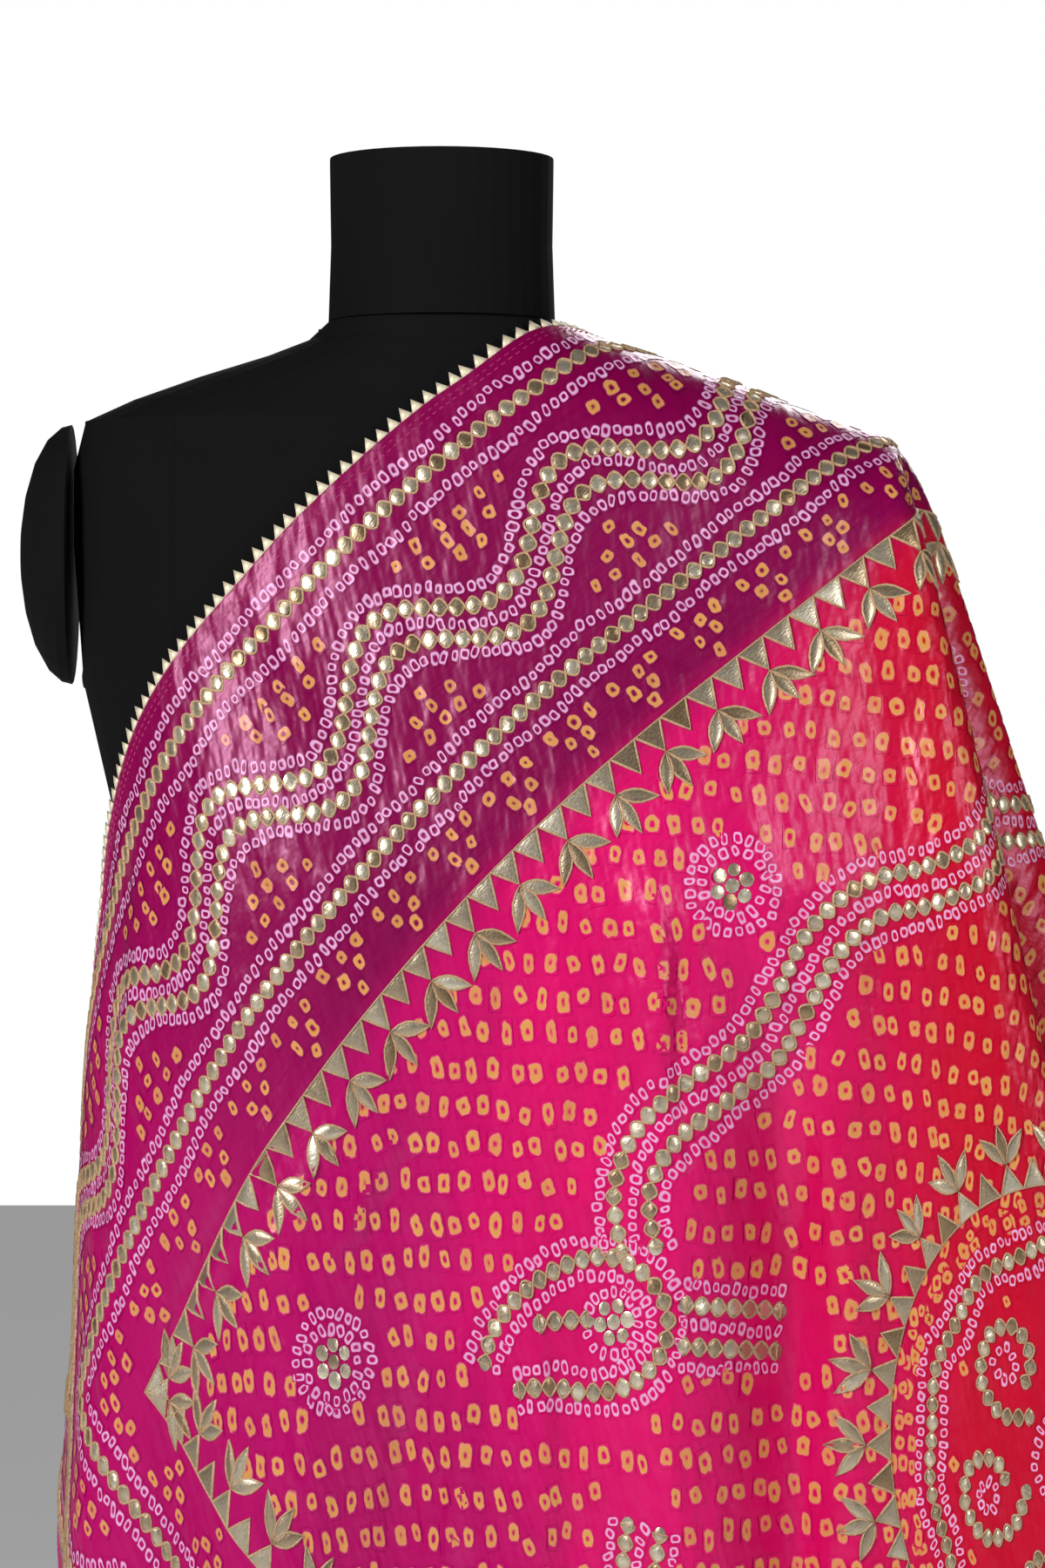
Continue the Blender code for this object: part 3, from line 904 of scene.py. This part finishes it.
def satin_material():
    """Silk satin: dye by place on the flat cloth, with the tied marks where a piece carries them."""
    made, tree, shader = new_material("bandhani_satin")
    g = Graph(tree)
    uv = g.node("ShaderNodeUVMap", uv_map="OFBake").outputs["UV"]
    parts = g.node("ShaderNodeSeparateXYZ")
    g.feed(parts.inputs[0], uv)
    s = g.math("MULTIPLY", g.math("SUBTRACT", parts.outputs[0], 0.01), 1 / 0.49)
    w = g.math("MULTIPLY", g.math("SUBTRACT", parts.outputs[1], 0.01), 1 / 0.49)
    a = g.math("MINIMUM", s, g.math("SUBTRACT", CLOTH_LENGTH, s))
    b = g.math("MINIMUM", w, g.math("SUBTRACT", CLOTH_WIDTH, w))
    edge = g.math("MINIMUM", a, b)
    blot = g.noise(uv, 9.0, 3.0, 0.6)
    soft = g.math("ADD", edge, g.math("MULTIPLY", g.math("SUBTRACT", blot, 0.5), 0.03))
    inside = g.step(soft, 0.185, 0.215)
    deep = g.step(g.math("ADD", s, g.math("MULTIPLY", blot, 0.12)), 0.26, 0.52)
    border = g.mix(deep, MAGENTA, WINE)
    reach = g.math("ADD", g.math("MULTIPLY", s, 0.8), g.math("MULTIPLY", w, 0.6))
    reach = g.math("ADD", reach, g.math("MULTIPLY", g.math("SUBTRACT", blot, 0.5), 0.16))
    field = g.mix(g.step(reach, 0.44, 0.60), MAGENTA, HOT_PINK)
    field = g.mix(g.step(reach, 0.64, 0.80), field, CRIMSON)
    colour = g.mix(inside, border, field)
    fine = g.noise(uv, 34.0, 3.0, 0.6)
    colour = g.mix(g.math("MULTIPLY", fine, 0.30), colour, (0.10, 0.0, 0.02, 1), "MULTIPLY")

    mark = g.node("ShaderNodeAttribute", attribute_name="mark")
    bits = g.node("ShaderNodeSeparateColor")
    g.feed(bits.inputs[0], mark.outputs["Color"])
    x = g.math("SUBTRACT", g.math("MULTIPLY", bits.outputs[0], 2.0), 1.0)
    y = g.math("SUBTRACT", g.math("MULTIPLY", bits.outputs[1], 2.0), 1.0)
    kind, chance = bits.outputs[2], mark.outputs["Alpha"]
    jag = g.noise(uv, 420.0, 1.0, 0.5)
    jag = g.math("MULTIPLY", g.math("SUBTRACT", jag, 0.5), 0.62)
    cube_x = g.math("POWER", g.math("ABSOLUTE", x), 3.0)
    cube_y = g.math("POWER", g.math("ABSOLUTE", y), 3.0)
    radius = g.math("POWER", g.math("ADD", cube_x, cube_y), 1 / 3)
    radius = g.math("ADD", radius, jag)
    is_mark = g.step(kind, 0.1, 0.2)
    is_white = g.step(kind, 0.7, 0.8)
    outer = g.step(radius, 0.70, 0.86, 1.0, 0.0)
    hole_white = g.step(radius, g.math("ADD", 0.26, g.math("MULTIPLY", chance, 0.16)), 0.54)
    hole_yellow = g.step(radius, g.math("ADD", 0.06, g.math("MULTIPLY", chance, 0.12)), 0.40)
    hole_white = g.math("MULTIPLY", hole_white, is_white)
    hole_yellow = g.math("MULTIPLY", hole_yellow, g.math("SUBTRACT", 1.0, is_white))
    hole = g.math("ADD", hole_white, hole_yellow)
    cover = g.math("MULTIPLY", g.math("MULTIPLY", outer, hole), is_mark)
    cover = g.math("MULTIPLY", cover, g.math("ADD", 0.78, g.math("MULTIPLY", chance, 0.22)))
    rim = g.step(radius, 0.52, 0.78)
    yellow_dye = g.mix(g.math("MULTIPLY", rim, 0.45), DYE_YELLOW, (0.74, 0.26, 0.24, 1))
    dye = g.mix(is_white, yellow_dye, DYE_WHITE)
    colour = g.mix(cover, colour, dye)
    g.feed(shader.inputs["Base Color"], colour)

    threads = g.noise(g.scaled(uv, (140.0, 1500.0, 1.0)), 1.0, 2.0, 0.6)
    g.feed(shader.inputs["Roughness"], g.step(threads, 0.2, 0.8, 0.27, 0.38))
    shader.inputs["Specular IOR Level"].default_value = 0.5
    shader.inputs["Specular Tint"].default_value = (1.0, 0.50, 0.74, 1)
    shader.inputs["Sheen Weight"].default_value = 0.05
    shader.inputs["Sheen Roughness"].default_value = 0.35
    shader.inputs["Sheen Tint"].default_value = (1.0, 0.45, 0.72, 1)
    shader.inputs["Anisotropic"].default_value = 0.35
    rumple = g.noise(uv, 40.0, 3.0, 0.55)
    pulled = g.turned(uv, math.radians(38), (22.0, 120.0, 1.0))
    creases = g.noise(pulled, 1.0, 2.0, 0.55)
    pulled = g.turned(uv, math.radians(62), (34.0, 150.0, 1.0))
    creases = g.math("ADD", creases, g.noise(pulled, 1.0, 2.0, 0.55))
    crimp = g.noise(uv, 210.0, 2.0, 0.5)
    knots = g.math("MULTIPLY", g.math("MULTIPLY", outer, is_mark), g.step(radius, 0.0, 0.6, 1.0, 0.4))
    normal = g.bump(rumple, 0.45, 0.0050)
    normal = g.bump(creases, 0.60, 0.0036, normal)
    normal = g.bump(crimp, 0.35, 0.0012, normal)
    normal = g.bump(knots, 0.35, 0.0006, normal)
    normal = g.bump(threads, 0.10, 0.0002, normal)
    g.feed(shader.inputs["Normal"], normal)
    return made


def gota_material():
    """Woven metal ribbon: pale and dark by piece, with its fine ribs."""
    made, tree, shader = new_material("gota_ribbon")
    g = Graph(tree)
    uv = g.node("ShaderNodeUVMap", uv_map="OFBake").outputs["UV"]
    mark = g.node("ShaderNodeAttribute", attribute_name="mark")
    bits = g.node("ShaderNodeSeparateColor")
    g.feed(bits.inputs[0], mark.outputs["Color"])
    ribs = g.noise(g.scaled(uv, (900.0, 2600.0, 1.0)), 1.0, 1.0, 0.5)
    tone = g.mix(bits.outputs[2], (0.30, 0.20, 0.11, 1), (0.82, 0.76, 0.60, 1))
    tone = g.mix(g.math("MULTIPLY", ribs, 0.5), tone, (0.30, 0.22, 0.13, 1))
    g.feed(shader.inputs["Base Color"], tone)
    shader.inputs["Metallic"].default_value = 0.80
    g.feed(shader.inputs["Roughness"], g.step(ribs, 0.2, 0.8, 0.26, 0.44))
    g.feed(shader.inputs["Normal"], g.bump(ribs, 0.5, 0.0003))
    return made


def thread_material():
    made, tree, shader = new_material("gota_thread")
    g = Graph(tree)
    uv = g.node("ShaderNodeUVMap", uv_map="OFBake").outputs["UV"]
    twist = g.noise(g.scaled(uv, (1500.0, 1500.0, 1.0)), 1.0, 1.0, 0.5)
    g.feed(shader.inputs["Base Color"], g.mix(twist, (0.24, 0.13, 0.06, 1), (0.66, 0.45, 0.26, 1)))
    shader.inputs["Roughness"].default_value = 0.55
    shader.inputs["Metallic"].default_value = 0.15
    g.feed(shader.inputs["Normal"], g.bump(twist, 0.6, 0.0003))
    return made


def teeth_material():
    made, tree, shader = new_material("gota_teeth")
    g = Graph(tree)
    place = g.node("ShaderNodeNewGeometry").outputs["Position"]
    weave = g.noise(place, 1400.0, 1.0, 0.5)
    g.feed(shader.inputs["Base Color"], g.mix(weave, (0.60, 0.50, 0.33, 1), (0.86, 0.78, 0.60, 1)))
    shader.inputs["Roughness"].default_value = 0.5
    shader.inputs["Metallic"].default_value = 0.25
    g.feed(shader.inputs["Normal"], g.bump(weave, 0.5, 0.0004))
    return made


def form_material():
    """Matt black cover with a fine plain weave."""
    made, tree, shader = new_material("form_black_cover")
    g = Graph(tree)
    place = g.node("ShaderNodeNewGeometry").outputs["Position"]
    cloud = g.noise(place, 7.0, 3.0, 0.6)
    weave_a = g.noise(g.scaled(place, (900.0, 900.0, 120.0)), 1.0, 1.0, 0.5)
    weave_b = g.noise(g.scaled(place, (120.0, 120.0, 1300.0)), 1.0, 1.0, 0.5)
    weave = g.math("ADD", weave_a, weave_b)
    colour = g.mix(cloud, (0.0026, 0.0026, 0.0030, 1), (0.0052, 0.0052, 0.0060, 1))
    g.feed(shader.inputs["Base Color"], colour)
    shader.inputs["Roughness"].default_value = 0.88
    shader.inputs["Specular IOR Level"].default_value = 0.10
    g.feed(shader.inputs["Normal"], g.bump(weave, 0.35, 0.0004))
    return made


def metal_material():
    made, tree, shader = new_material("stand_black_paint")
    g = Graph(tree)
    place = g.node("ShaderNodeNewGeometry").outputs["Position"]
    grain = g.noise(place, 260.0, 2.0, 0.5)
    g.feed(shader.inputs["Base Color"], g.mix(grain, (0.012, 0.012, 0.013, 1), (0.022, 0.022, 0.024, 1)))
    g.feed(shader.inputs["Roughness"], g.step(grain, 0.2, 0.8, 0.32, 0.48))
    g.feed(shader.inputs["Normal"], g.bump(grain, 0.12, 0.0003))
    return made


SATIN, GOTA, THREAD = satin_material(), gota_material(), thread_material()
TEETH, COVER, PAINT = teeth_material(), form_material(), metal_material()

# ---------------------------------------------------------------- the sheet and its dyed marks
rows, cols = GRID.shape[:2]
first = (np.arange(rows - 1)[:, None] * cols + np.arange(cols - 1)[None]).ravel()
quads = np.stack([first, first + cols, first + cols + 1, first + 1], axis=-1)
plain = np.zeros((rows * cols, 4), np.float32)
sheet = add_mesh("bandhani_sheet", GRID.reshape(-1, 3), quads, SATIN, FLAT.reshape(-1, 2), plain)

PATCH = np.array([(x, y) for y in (-1, 0, 1) for x in (-1, 0, 1)], float)
PATCH_FACES = [(0, 1, 4, 3), (1, 2, 5, 4), (3, 4, 7, 6), (4, 5, 8, 7)]
MARK_LIFT = 0.00028


def build_marks(name, spots, kind, lift):
    """Small patches of the same satin, which carry the tied marks. Across a line they are longer."""
    table = np.array(spots)
    s0, w0, turn, along, across = table.T
    inside = (s0 > 0.004) & (s0 < CLOTH_LENGTH - 0.004) & (w0 > 0.004) & (w0 < CLOTH_WIDTH - 0.004)
    s0, w0, turn, along, across = (column_[inside, None] for column_ in (s0, w0, turn, along, across))
    local_x = PATCH[None, :, 0] * along * 0.72
    local_y = PATCH[None, :, 1] * across * 0.72
    s = s0 + local_x * np.cos(turn) - local_y * np.sin(turn)
    w = w0 + local_x * np.sin(turn) + local_y * np.cos(turn)
    mark = np.zeros((*s.shape, 4))
    mark[..., 0] = (PATCH[None, :, 0] + 1) / 2
    mark[..., 1] = (PATCH[None, :, 1] + 1) / 2
    mark[..., 2] = kind
    mark[..., 3] = rng.random(len(s))[:, None]
    heap = Heap()
    steps = lift + 0.00006 * (np.arange(len(s)) % 3)[:, None] + np.zeros_like(s)
    heap.add(s, w, steps, PATCH_FACES, mark)
    return heap.build(name, SATIN)


white_piece = build_marks("tied_marks_white", white_marks, 1.0, MARK_LIFT)
yellow_piece = build_marks("tied_marks_yellow", yellow_marks, 0.5, MARK_LIFT)

# ---------------------------------------------------------------- gota discs and threads
DISC_RADIUS = 0.0037
turns10 = np.linspace(0, 2 * math.pi, 10, endpoint=False)
DISC = [(0.0, 0.0, 0.00072)]
DISC += [(0.80 * math.cos(t), 0.80 * math.sin(t), 0.00070) for t in turns10]
DISC += [(math.cos(t), math.sin(t), 0.00035) for t in turns10]
DISC = np.array(DISC)
DISC_FACES = []
for k in range(10):
    n = (k + 1) % 10
    DISC_FACES.append((0, 1 + k, 1 + n))
    DISC_FACES.append((1 + k, 11 + k, 11 + n))
    DISC_FACES.append((1 + k, 11 + n, 1 + n))


def build_discs():
    table = np.array(disc_spots)
    s0, w0, turn = (table[:, k, None] for k in range(3))
    size = DISC_RADIUS * rng.uniform(0.88, 1.08, (len(table), 1))
    x = DISC[None, :, 0] * size
    y = DISC[None, :, 1] * size * rng.uniform(0.92, 1.08, (len(table), 1))
    s = s0 + x * np.cos(turn) - y * np.sin(turn)
    w = w0 + x * np.sin(turn) + y * np.cos(turn)
    lean = rng.normal(0, 0.11, (len(table), 2))
    lift = DISC[None, :, 2] + x * lean[:, :1] + y * lean[:, 1:]
    lift = np.maximum(lift, 0.0003)
    mark = np.zeros((*s.shape, 4))
    mark[..., 2] = np.clip(rng.normal(0.55, 0.30, (len(table), 1)), 0, 1)
    mark[..., 3] = 1
    heap = Heap()
    heap.add(s, w, lift, DISC_FACES, mark)
    return heap.build("gota_discs", GOTA)


ROOF = ((-1.0, 0.0), (0.0, 1.0), (1.0, 0.0))


def add_thread(heap, line, half, rise, closed=False, lift=0.0002):
    """A thin roof-shaped cord along a flat line."""
    line = np.asarray(line, float)
    aim = np.gradient(line, axis=0)
    if closed:
        aim[0] = aim[-1] = line[1] - line[-2]
    aim /= np.maximum(np.linalg.norm(aim, axis=1, keepdims=True), 1e-9)
    side = np.stack([-aim[:, 1], aim[:, 0]], axis=-1)
    places = np.stack([line + side * half * x for x, _ in ROOF], axis=1)
    lifts = np.stack([np.full(len(line), lift + rise * z) for _, z in ROOF], axis=1)
    faces = []
    for i in range(len(line) - 1):
        for k in (0, 1):
            a = i * 3 + k
            faces.append((a, a + 1, a + 4, a + 3))
    heap.add(
        places[..., 0].reshape(1, -1),
        places[..., 1].reshape(1, -1),
        lifts.reshape(1, -1),
        faces,
        np.ones((1, len(line) * 3, 4)),
    )


def build_disc_threads():
    heap = Heap()
    for line, count in gold_runs:
        if count < 1:
            continue
        steps = count * 6
        run = np.concatenate([[0], np.cumsum(np.linalg.norm(np.diff(line, axis=0), axis=1))])
        spots = np.linspace(-0.5, count + 0.5, steps + 7) / count * run[-1]
        spots = np.clip(spots, 0, run[-1])
        path = places_on(line, run, spots)
        ahead = places_on(line, run, np.minimum(spots + 0.001, run[-1]))
        behind = places_on(line, run, np.maximum(spots - 0.001, 0))
        aim = ahead - behind
        aim /= np.maximum(np.linalg.norm(aim, axis=1, keepdims=True), 1e-9)
        side = np.stack([-aim[:, 1], aim[:, 0]], axis=-1)
        phase = np.linspace(-0.5, count + 0.5, steps + 7)
        swing = np.cos(math.pi * phase) * 0.0042
        for sign in (-1, 1):
            add_thread(heap, path + side * (sign * swing)[:, None], 0.00062, 0.0012)
    return heap.build("gota_disc_threads", THREAD)


discs = build_discs()
disc_threads = build_disc_threads()

# ---------------------------------------------------------------- gota triangles and sprigs
TRIANGLE_PITCH = 0.0165
TRIANGLE_TALL = 0.0145
PETAL_LONG = 0.0215
PETAL_WIDE = 0.0066
PETAL_SPREAD = math.radians(44)

sprig_heap, sprig_threads = Heap(), Heap()


def leaf_shape():
    run = np.linspace(0, 1, 6)
    half = np.sin(math.pi * run**0.9) ** 1.15 * 0.5
    right = [(x, -y) for x, y in zip(run, half)]
    left = [(x, y) for x, y in zip(run[-2:0:-1], half[-2:0:-1])]
    return np.array(right + left)


LEAF = leaf_shape()


def add_triangle(base, aim, out):
    """One folded ribbon triangle: its base on the line, its point towards out."""
    aim, out = np.asarray(aim), np.asarray(out)
    half = TRIANGLE_PITCH * 0.47 * aim
    corners = [base - half, base + half, base + out * TRIANGLE_TALL * rng.uniform(0.94, 1.06)]
    middle = sum(corners) / 3
    ring = []
    for k in range(3):
        ring += [corners[k], (corners[k] + corners[(k + 1) % 3]) / 2]
    points = np.array([middle] + ring)
    lift = np.array([0.0012] + [0.0004] * 6) + rng.uniform(-0.0002, 0.0003, 7)
    faces = [(0, 1 + k, 1 + (k + 1) % 6) for k in range(6)]
    mark = np.ones((1, 7, 4)) * np.clip(rng.normal(0.5, 0.28), 0, 1)
    sprig_heap.add(points[None, :, 0], points[None, :, 1], lift[None], faces, mark)
    sides = [(corners[k] + corners[2]) / 2 for k in (0, 1)]
    outline = np.array([corners[0], sides[0], corners[2], sides[1], corners[1]])
    add_thread(sprig_threads, outline, 0.00068, 0.0013)
    return corners[2]


def add_petal(tip, way):
    """One leaf of a sprig, growing from tip along way."""
    way = np.asarray(way) / np.linalg.norm(way)
    side = np.array((-way[1], way[0]))
    long = PETAL_LONG * rng.uniform(0.92, 1.05)
    points = tip + LEAF[:, :1] * way * long + LEAF[:, 1:] * side * PETAL_WIDE
    middle = tip + way * long * 0.5
    every = np.concatenate([[middle], points])
    lift = np.full(len(every), 0.0004)
    lift[0] = 0.0015
    faces = [(0, 1 + k, 1 + (k + 1) % len(points)) for k in range(len(points))]
    mark = np.ones((1, len(every), 4)) * np.clip(rng.normal(0.42, 0.25), 0, 1)
    sprig_heap.add(every[None, :, 0], every[None, :, 1], lift[None], faces, mark)
    add_thread(sprig_threads, np.concatenate([points, points[:1]]), 0.00064, 0.0013, closed=True)


def chain(line, outward):
    """A row of triangles on a line, every second one with three leaves at its point."""
    place, aim = resample(line, TRIANGLE_PITCH)
    for k in range(len(place) - 1):
        here, there = place[k], place[k + 1]
        along = (there - here) / np.linalg.norm(there - here)
        out = np.array((-along[1], along[0])) * outward
        tip = add_triangle((here + there) / 2, along, out)
        if k % 2 == 0:
            for bend in (-PETAL_SPREAD, 0.0, PETAL_SPREAD):
                bend += rng.normal(0, 0.06)
                c, n = math.cos(bend), math.sin(bend)
                add_petal(tip + out * 0.0008, (out[0] * c - out[1] * n, out[0] * n + out[1] * c))
    add_thread(sprig_threads, resample(line, 0.004)[0], 0.00052, 0.0011)


near, far = CHAIN_LINE, CLOTH_LENGTH - CHAIN_LINE
wide = CLOTH_WIDTH - CHAIN_LINE
for start, end, outward in (
    ((near, near), (far, near), 1),
    ((near, wide), (near, near), 1),
    ((far, wide), (near, wide), 1),
    ((far, near), (far, wide), 1),
):
    chain(np.linspace(start, end, 200), outward)
for middle in medallions:
    chain(circle(middle, MEDALLION_RADIUS), -1)

sprigs = sprig_heap.build("gota_sprigs", GOTA, smooth=False)
sprig_cords = sprig_threads.build("gota_sprig_threads", THREAD)


# ---------------------------------------------------------------- the edge
def build_teeth():
    """A row of folded ribbon points along the trimmed edge."""
    pitch = 0.0077
    count = int(CLOTH_LENGTH / pitch)
    verts, faces = [], []
    for k in range(count):
        mid = (k + 0.5) * pitch + rng.normal(0, 0.0003)
        spots = np.array([mid - pitch * 0.46, mid, mid + pitch * 0.46])
        on = on_cloth(spots, np.zeros(3), 0.0)
        inner = on_cloth(spots, np.full(3, 0.004), 0.0)
        normal = lookup(NORMAL, spots, np.zeros(3))
        out = on - inner
        out /= np.maximum(np.linalg.norm(out, axis=1, keepdims=True), 1e-9)
        tall = 0.0056 * rng.uniform(0.88, 1.1)
        base = len(verts)
        lift = normal * 0.0009
        tip = on[1] + out[1] * tall + (on[2] - on[0]) * rng.normal(0, 0.05)
        low = [on[0] - out[0] * 0.001, on[2] - out[2] * 0.001]
        verts += [low[0] + lift[0] * 0.6, low[1] + lift[2] * 0.6, tip + lift[1] * 0.2]
        verts += [(low[0] + low[1] + tip) / 3 + lift[1] * 1.4]
        verts += [low[0] - lift[0] * 0.6, low[1] - lift[2] * 0.6, tip - lift[1] * 0.2]
        verts += [(low[0] + low[1] + tip) / 3 - lift[1] * 1.4]
        faces += [(base, base + 1, base + 3), (base + 1, base + 2, base + 3), (base + 2, base, base + 3)]
        faces += [(base + 5, base + 4, base + 7), (base + 6, base + 5, base + 7), (base + 4, base + 6, base + 7)]
        for a, b in ((0, 1), (1, 2), (2, 0)):
            faces += [(base + a, base + 4 + a, base + 4 + b), (base + a, base + 4 + b, base + b)]
    return add_mesh("gota_teeth", np.array(verts), faces, TEETH, smooth=False)


def build_stitches():
    """The hem's running stitch, as short raised threads."""
    heap = Heap()
    for distance in (0.0078, 0.0112):
        for copy in mirrored(corner_line(distance)):
            place, aim = resample(copy, 0.0042)
            for (s, w), turn in zip(place[1:-1], aim[1:-1]):
                along = np.array((math.cos(turn), math.sin(turn))) * 0.0011
                spot = np.array((s, w))
                add_thread(heap, np.array([spot - along, spot + along]), 0.00022, 0.00035, lift=0.0001)
    return heap


def stitch_material():
    """The hem's dyed sewing thread."""
    made, tree, shader = new_material("hem_thread")
    g = Graph(tree)
    place = g.node("ShaderNodeNewGeometry").outputs["Position"]
    tone = g.mix(g.noise(place, 900.0), (0.40, 0.01, 0.11, 1), (0.62, 0.05, 0.22, 1))
    g.feed(shader.inputs["Base Color"], tone)
    shader.inputs["Roughness"].default_value = 0.5
    return made


teeth = build_teeth()
STITCH = stitch_material()
stitches = build_stitches().build("hem_stitches", STITCH)


# ---------------------------------------------------------------- the form
# upright seams: x at the top, x at the bottom, and -1 in front or 1 behind
UPRIGHT_SEAMS = (
    (-0.134, -0.130, -1),
    (-0.134, -0.130, 1),
    (0.0, 0.0, -1),
    (0.0, 0.0, 1),
    (0.134, 0.130, 1),
)
SEAM_TOP, SEAM_LOW = 0.112, 0.79
ARM_DEPTH = 0.204
ARM_SEAM_HALF_Y, ARM_SEAM_HALF_Z = 0.0515, 0.0685


def torso_tree():
    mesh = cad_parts["form_torso"].data
    return BVHTree.FromPolygons(
        [v.co.copy() for v in mesh.vertices], [tuple(p.vertices) for p in mesh.polygons]
    )


def seam_mesh(name, lines, material, half=0.0009):
    """Narrow raised ridges along lines in space, each point with its outward normal."""
    verts, faces = [], []
    for points, outward, closed in lines:
        points, outward = np.asarray(points), np.asarray(outward)
        aim = np.roll(points, -1, 0) - np.roll(points, 1, 0) if closed else np.gradient(points, axis=0)
        aim /= np.maximum(np.linalg.norm(aim, axis=1, keepdims=True), 1e-9)
        side = np.cross(aim, outward)
        base, count = len(verts), len(points)
        for p, n, d in zip(points, outward, side):
            verts += [p - d * half - n * 0.0004, p + n * 0.0007, p + d * half - n * 0.0004]
        for i in range(count if closed else count - 1):
            j = (i + 1) % count
            for k in (0, 1):
                faces.append((base + 3 * i + k, base + 3 * i + k + 1, base + 3 * j + k + 1, base + 3 * j + k))
    return add_mesh(name, np.array(verts), faces, material)


def form_seams():
    """Neck ring, armholes, princess seams and middle seams, laid on the torso."""
    tree = torso_tree()
    lines = []

    def shot(origin, direction):
        hit, normal, _, _ = tree.ray_cast(Vector(origin), Vector(direction))
        return hit, normal

    for x_top, x_low, back in UPRIGHT_SEAMS:
        points, outward = [], []
        for depth in np.linspace(SEAM_TOP, SEAM_LOW, 60):
            x = np.interp(depth, (SEAM_TOP, SEAM_LOW), (x_top, x_low))
            hit, normal = shot((x, 0.5 * back, NECK_TOP - depth), (0, -back, 0))
            if hit is not None:
                points.append(hit)
                outward.append(normal)
        lines.append((points, outward, False))
    neck_ring = []
    ring_out = []
    for turn in np.linspace(0, 2 * math.pi, 60, endpoint=False):
        x, y = math.cos(turn), math.sin(turn)
        drop = 0.0880 + 0.010 * max(0.0, -y)
        hit, normal = shot((0.5 * x, 0.5 * y, NECK_TOP - drop), (-x, -y, 0))
        if hit is not None:
            neck_ring.append(hit)
            ring_out.append(normal)
    lines.append((neck_ring, ring_out, True))
    for side in (-1, 1):
        points, outward = [], []
        for turn in np.linspace(0, 2 * math.pi, 48, endpoint=False):
            y = ARM_SEAM_HALF_Y * math.cos(turn)
            z = NECK_TOP - ARM_DEPTH + ARM_SEAM_HALF_Z * math.sin(turn)
            hit, normal = shot((0.5 * side, y, z), (-side, 0, 0))
            if hit is not None:
                points.append(hit)
                outward.append(normal)
        lines.append((points, outward, True))
    return seam_mesh("form_seams", lines, COVER)


seams = form_seams()
for name in ("form_torso", "form_neck", "form_arm_cap_left", "form_arm_cap_right"):
    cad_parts[name].data.materials[0] = COVER
for name in ("stand_pole", "stand_base"):
    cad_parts[name].data.materials[0] = PAINT

# ---------------------------------------------------------------- frame, stage, lights and camera
pieces = [white_piece, yellow_piece, discs, disc_threads, sprigs, sprig_cords, teeth, stitches]
for piece in [sheet, *pieces, seams]:
    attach(piece, "root")
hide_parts("cloth_panel")
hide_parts("gota_edge_trim")

FLOOR, floor_tree, floor_shader = new_material("pale_floor")
floor_shader.inputs["Base Color"].default_value = (0.93, 0.93, 0.93, 1)
floor_shader.inputs["Emission Color"].default_value = (1.0, 1.0, 1.0, 1)
floor_shader.inputs["Emission Strength"].default_value = 0.30
floor_shader.inputs["Roughness"].default_value = 0.9
FLOOR_HALF = 14.0
floor = add_mesh(
    "floor",
    [(-FLOOR_HALF, -FLOOR_HALF, 0), (FLOOR_HALF, -FLOOR_HALF, 0), (FLOOR_HALF, FLOOR_HALF, 0), (-FLOOR_HALF, FLOOR_HALF, 0)],
    [(0, 1, 2, 3)],
    FLOOR,
    smooth=False,
)

world = bpy.data.worlds.new("studio")
bpy.context.scene.world = world
world.use_nodes = True
tree = world.node_tree
background = tree.nodes["Background"]
background.inputs["Strength"].default_value = 0.34
seen = tree.nodes.new("ShaderNodeBackground")
seen.inputs["Color"].default_value = (1.0, 1.0, 1.0, 1)
seen.inputs["Strength"].default_value = 1.0
blend = tree.nodes.new("ShaderNodeMixShader")
rays = tree.nodes.new("ShaderNodeLightPath")
tree.links.new(rays.outputs["Is Camera Ray"], blend.inputs[0])
tree.links.new(background.outputs[0], blend.inputs[1])
tree.links.new(seen.outputs[0], blend.inputs[2])
tree.links.new(blend.outputs[0], tree.nodes["World Output"].inputs["Surface"])


def soft_box(name, place, aim, size, power):
    light = bpy.data.lights.new(name, "AREA")
    light.shape = "RECTANGLE"
    light.size, light.size_y = size
    light.energy = power
    made = bpy.data.objects.new(name, light)
    made.location = place
    made.rotation_euler = (Vector(aim) - Vector(place)).to_track_quat("-Z", "Y").to_euler()
    bpy.context.scene.collection.objects.link(made)


soft_box("key_light", (-1.6, -2.4, 2.6), (0.05, 0, 1.25), (0.7, 1.2), 95)
soft_box("side_light", (2.3, -1.6, 2.2), (0.1, 0, 1.2), (0.6, 1.4), 34)
soft_box("back_light", (0.6, 2.4, 2.6), (0.1, 0, 1.2), (1.6, 1.2), 30)

VIEW_X, VIEW_Z = 0.0417, 1.3375
VIEW_PLANE_Y = -0.12
VIEW_TALL = 0.774
VIEW_AWAY = 2.6
camera_data = bpy.data.cameras.new("camera")
camera_data.sensor_width = 36.0
camera_data.lens = 36.0 * VIEW_AWAY / VIEW_TALL
camera = bpy.data.objects.new("camera", camera_data)
camera.location = (VIEW_X, VIEW_PLANE_Y - VIEW_AWAY, VIEW_Z)
camera.rotation_euler = (math.radians(90), 0, 0)
bpy.context.scene.collection.objects.link(camera)
bpy.context.scene.camera = camera
bpy.context.scene.view_settings.view_transform = "Standard"
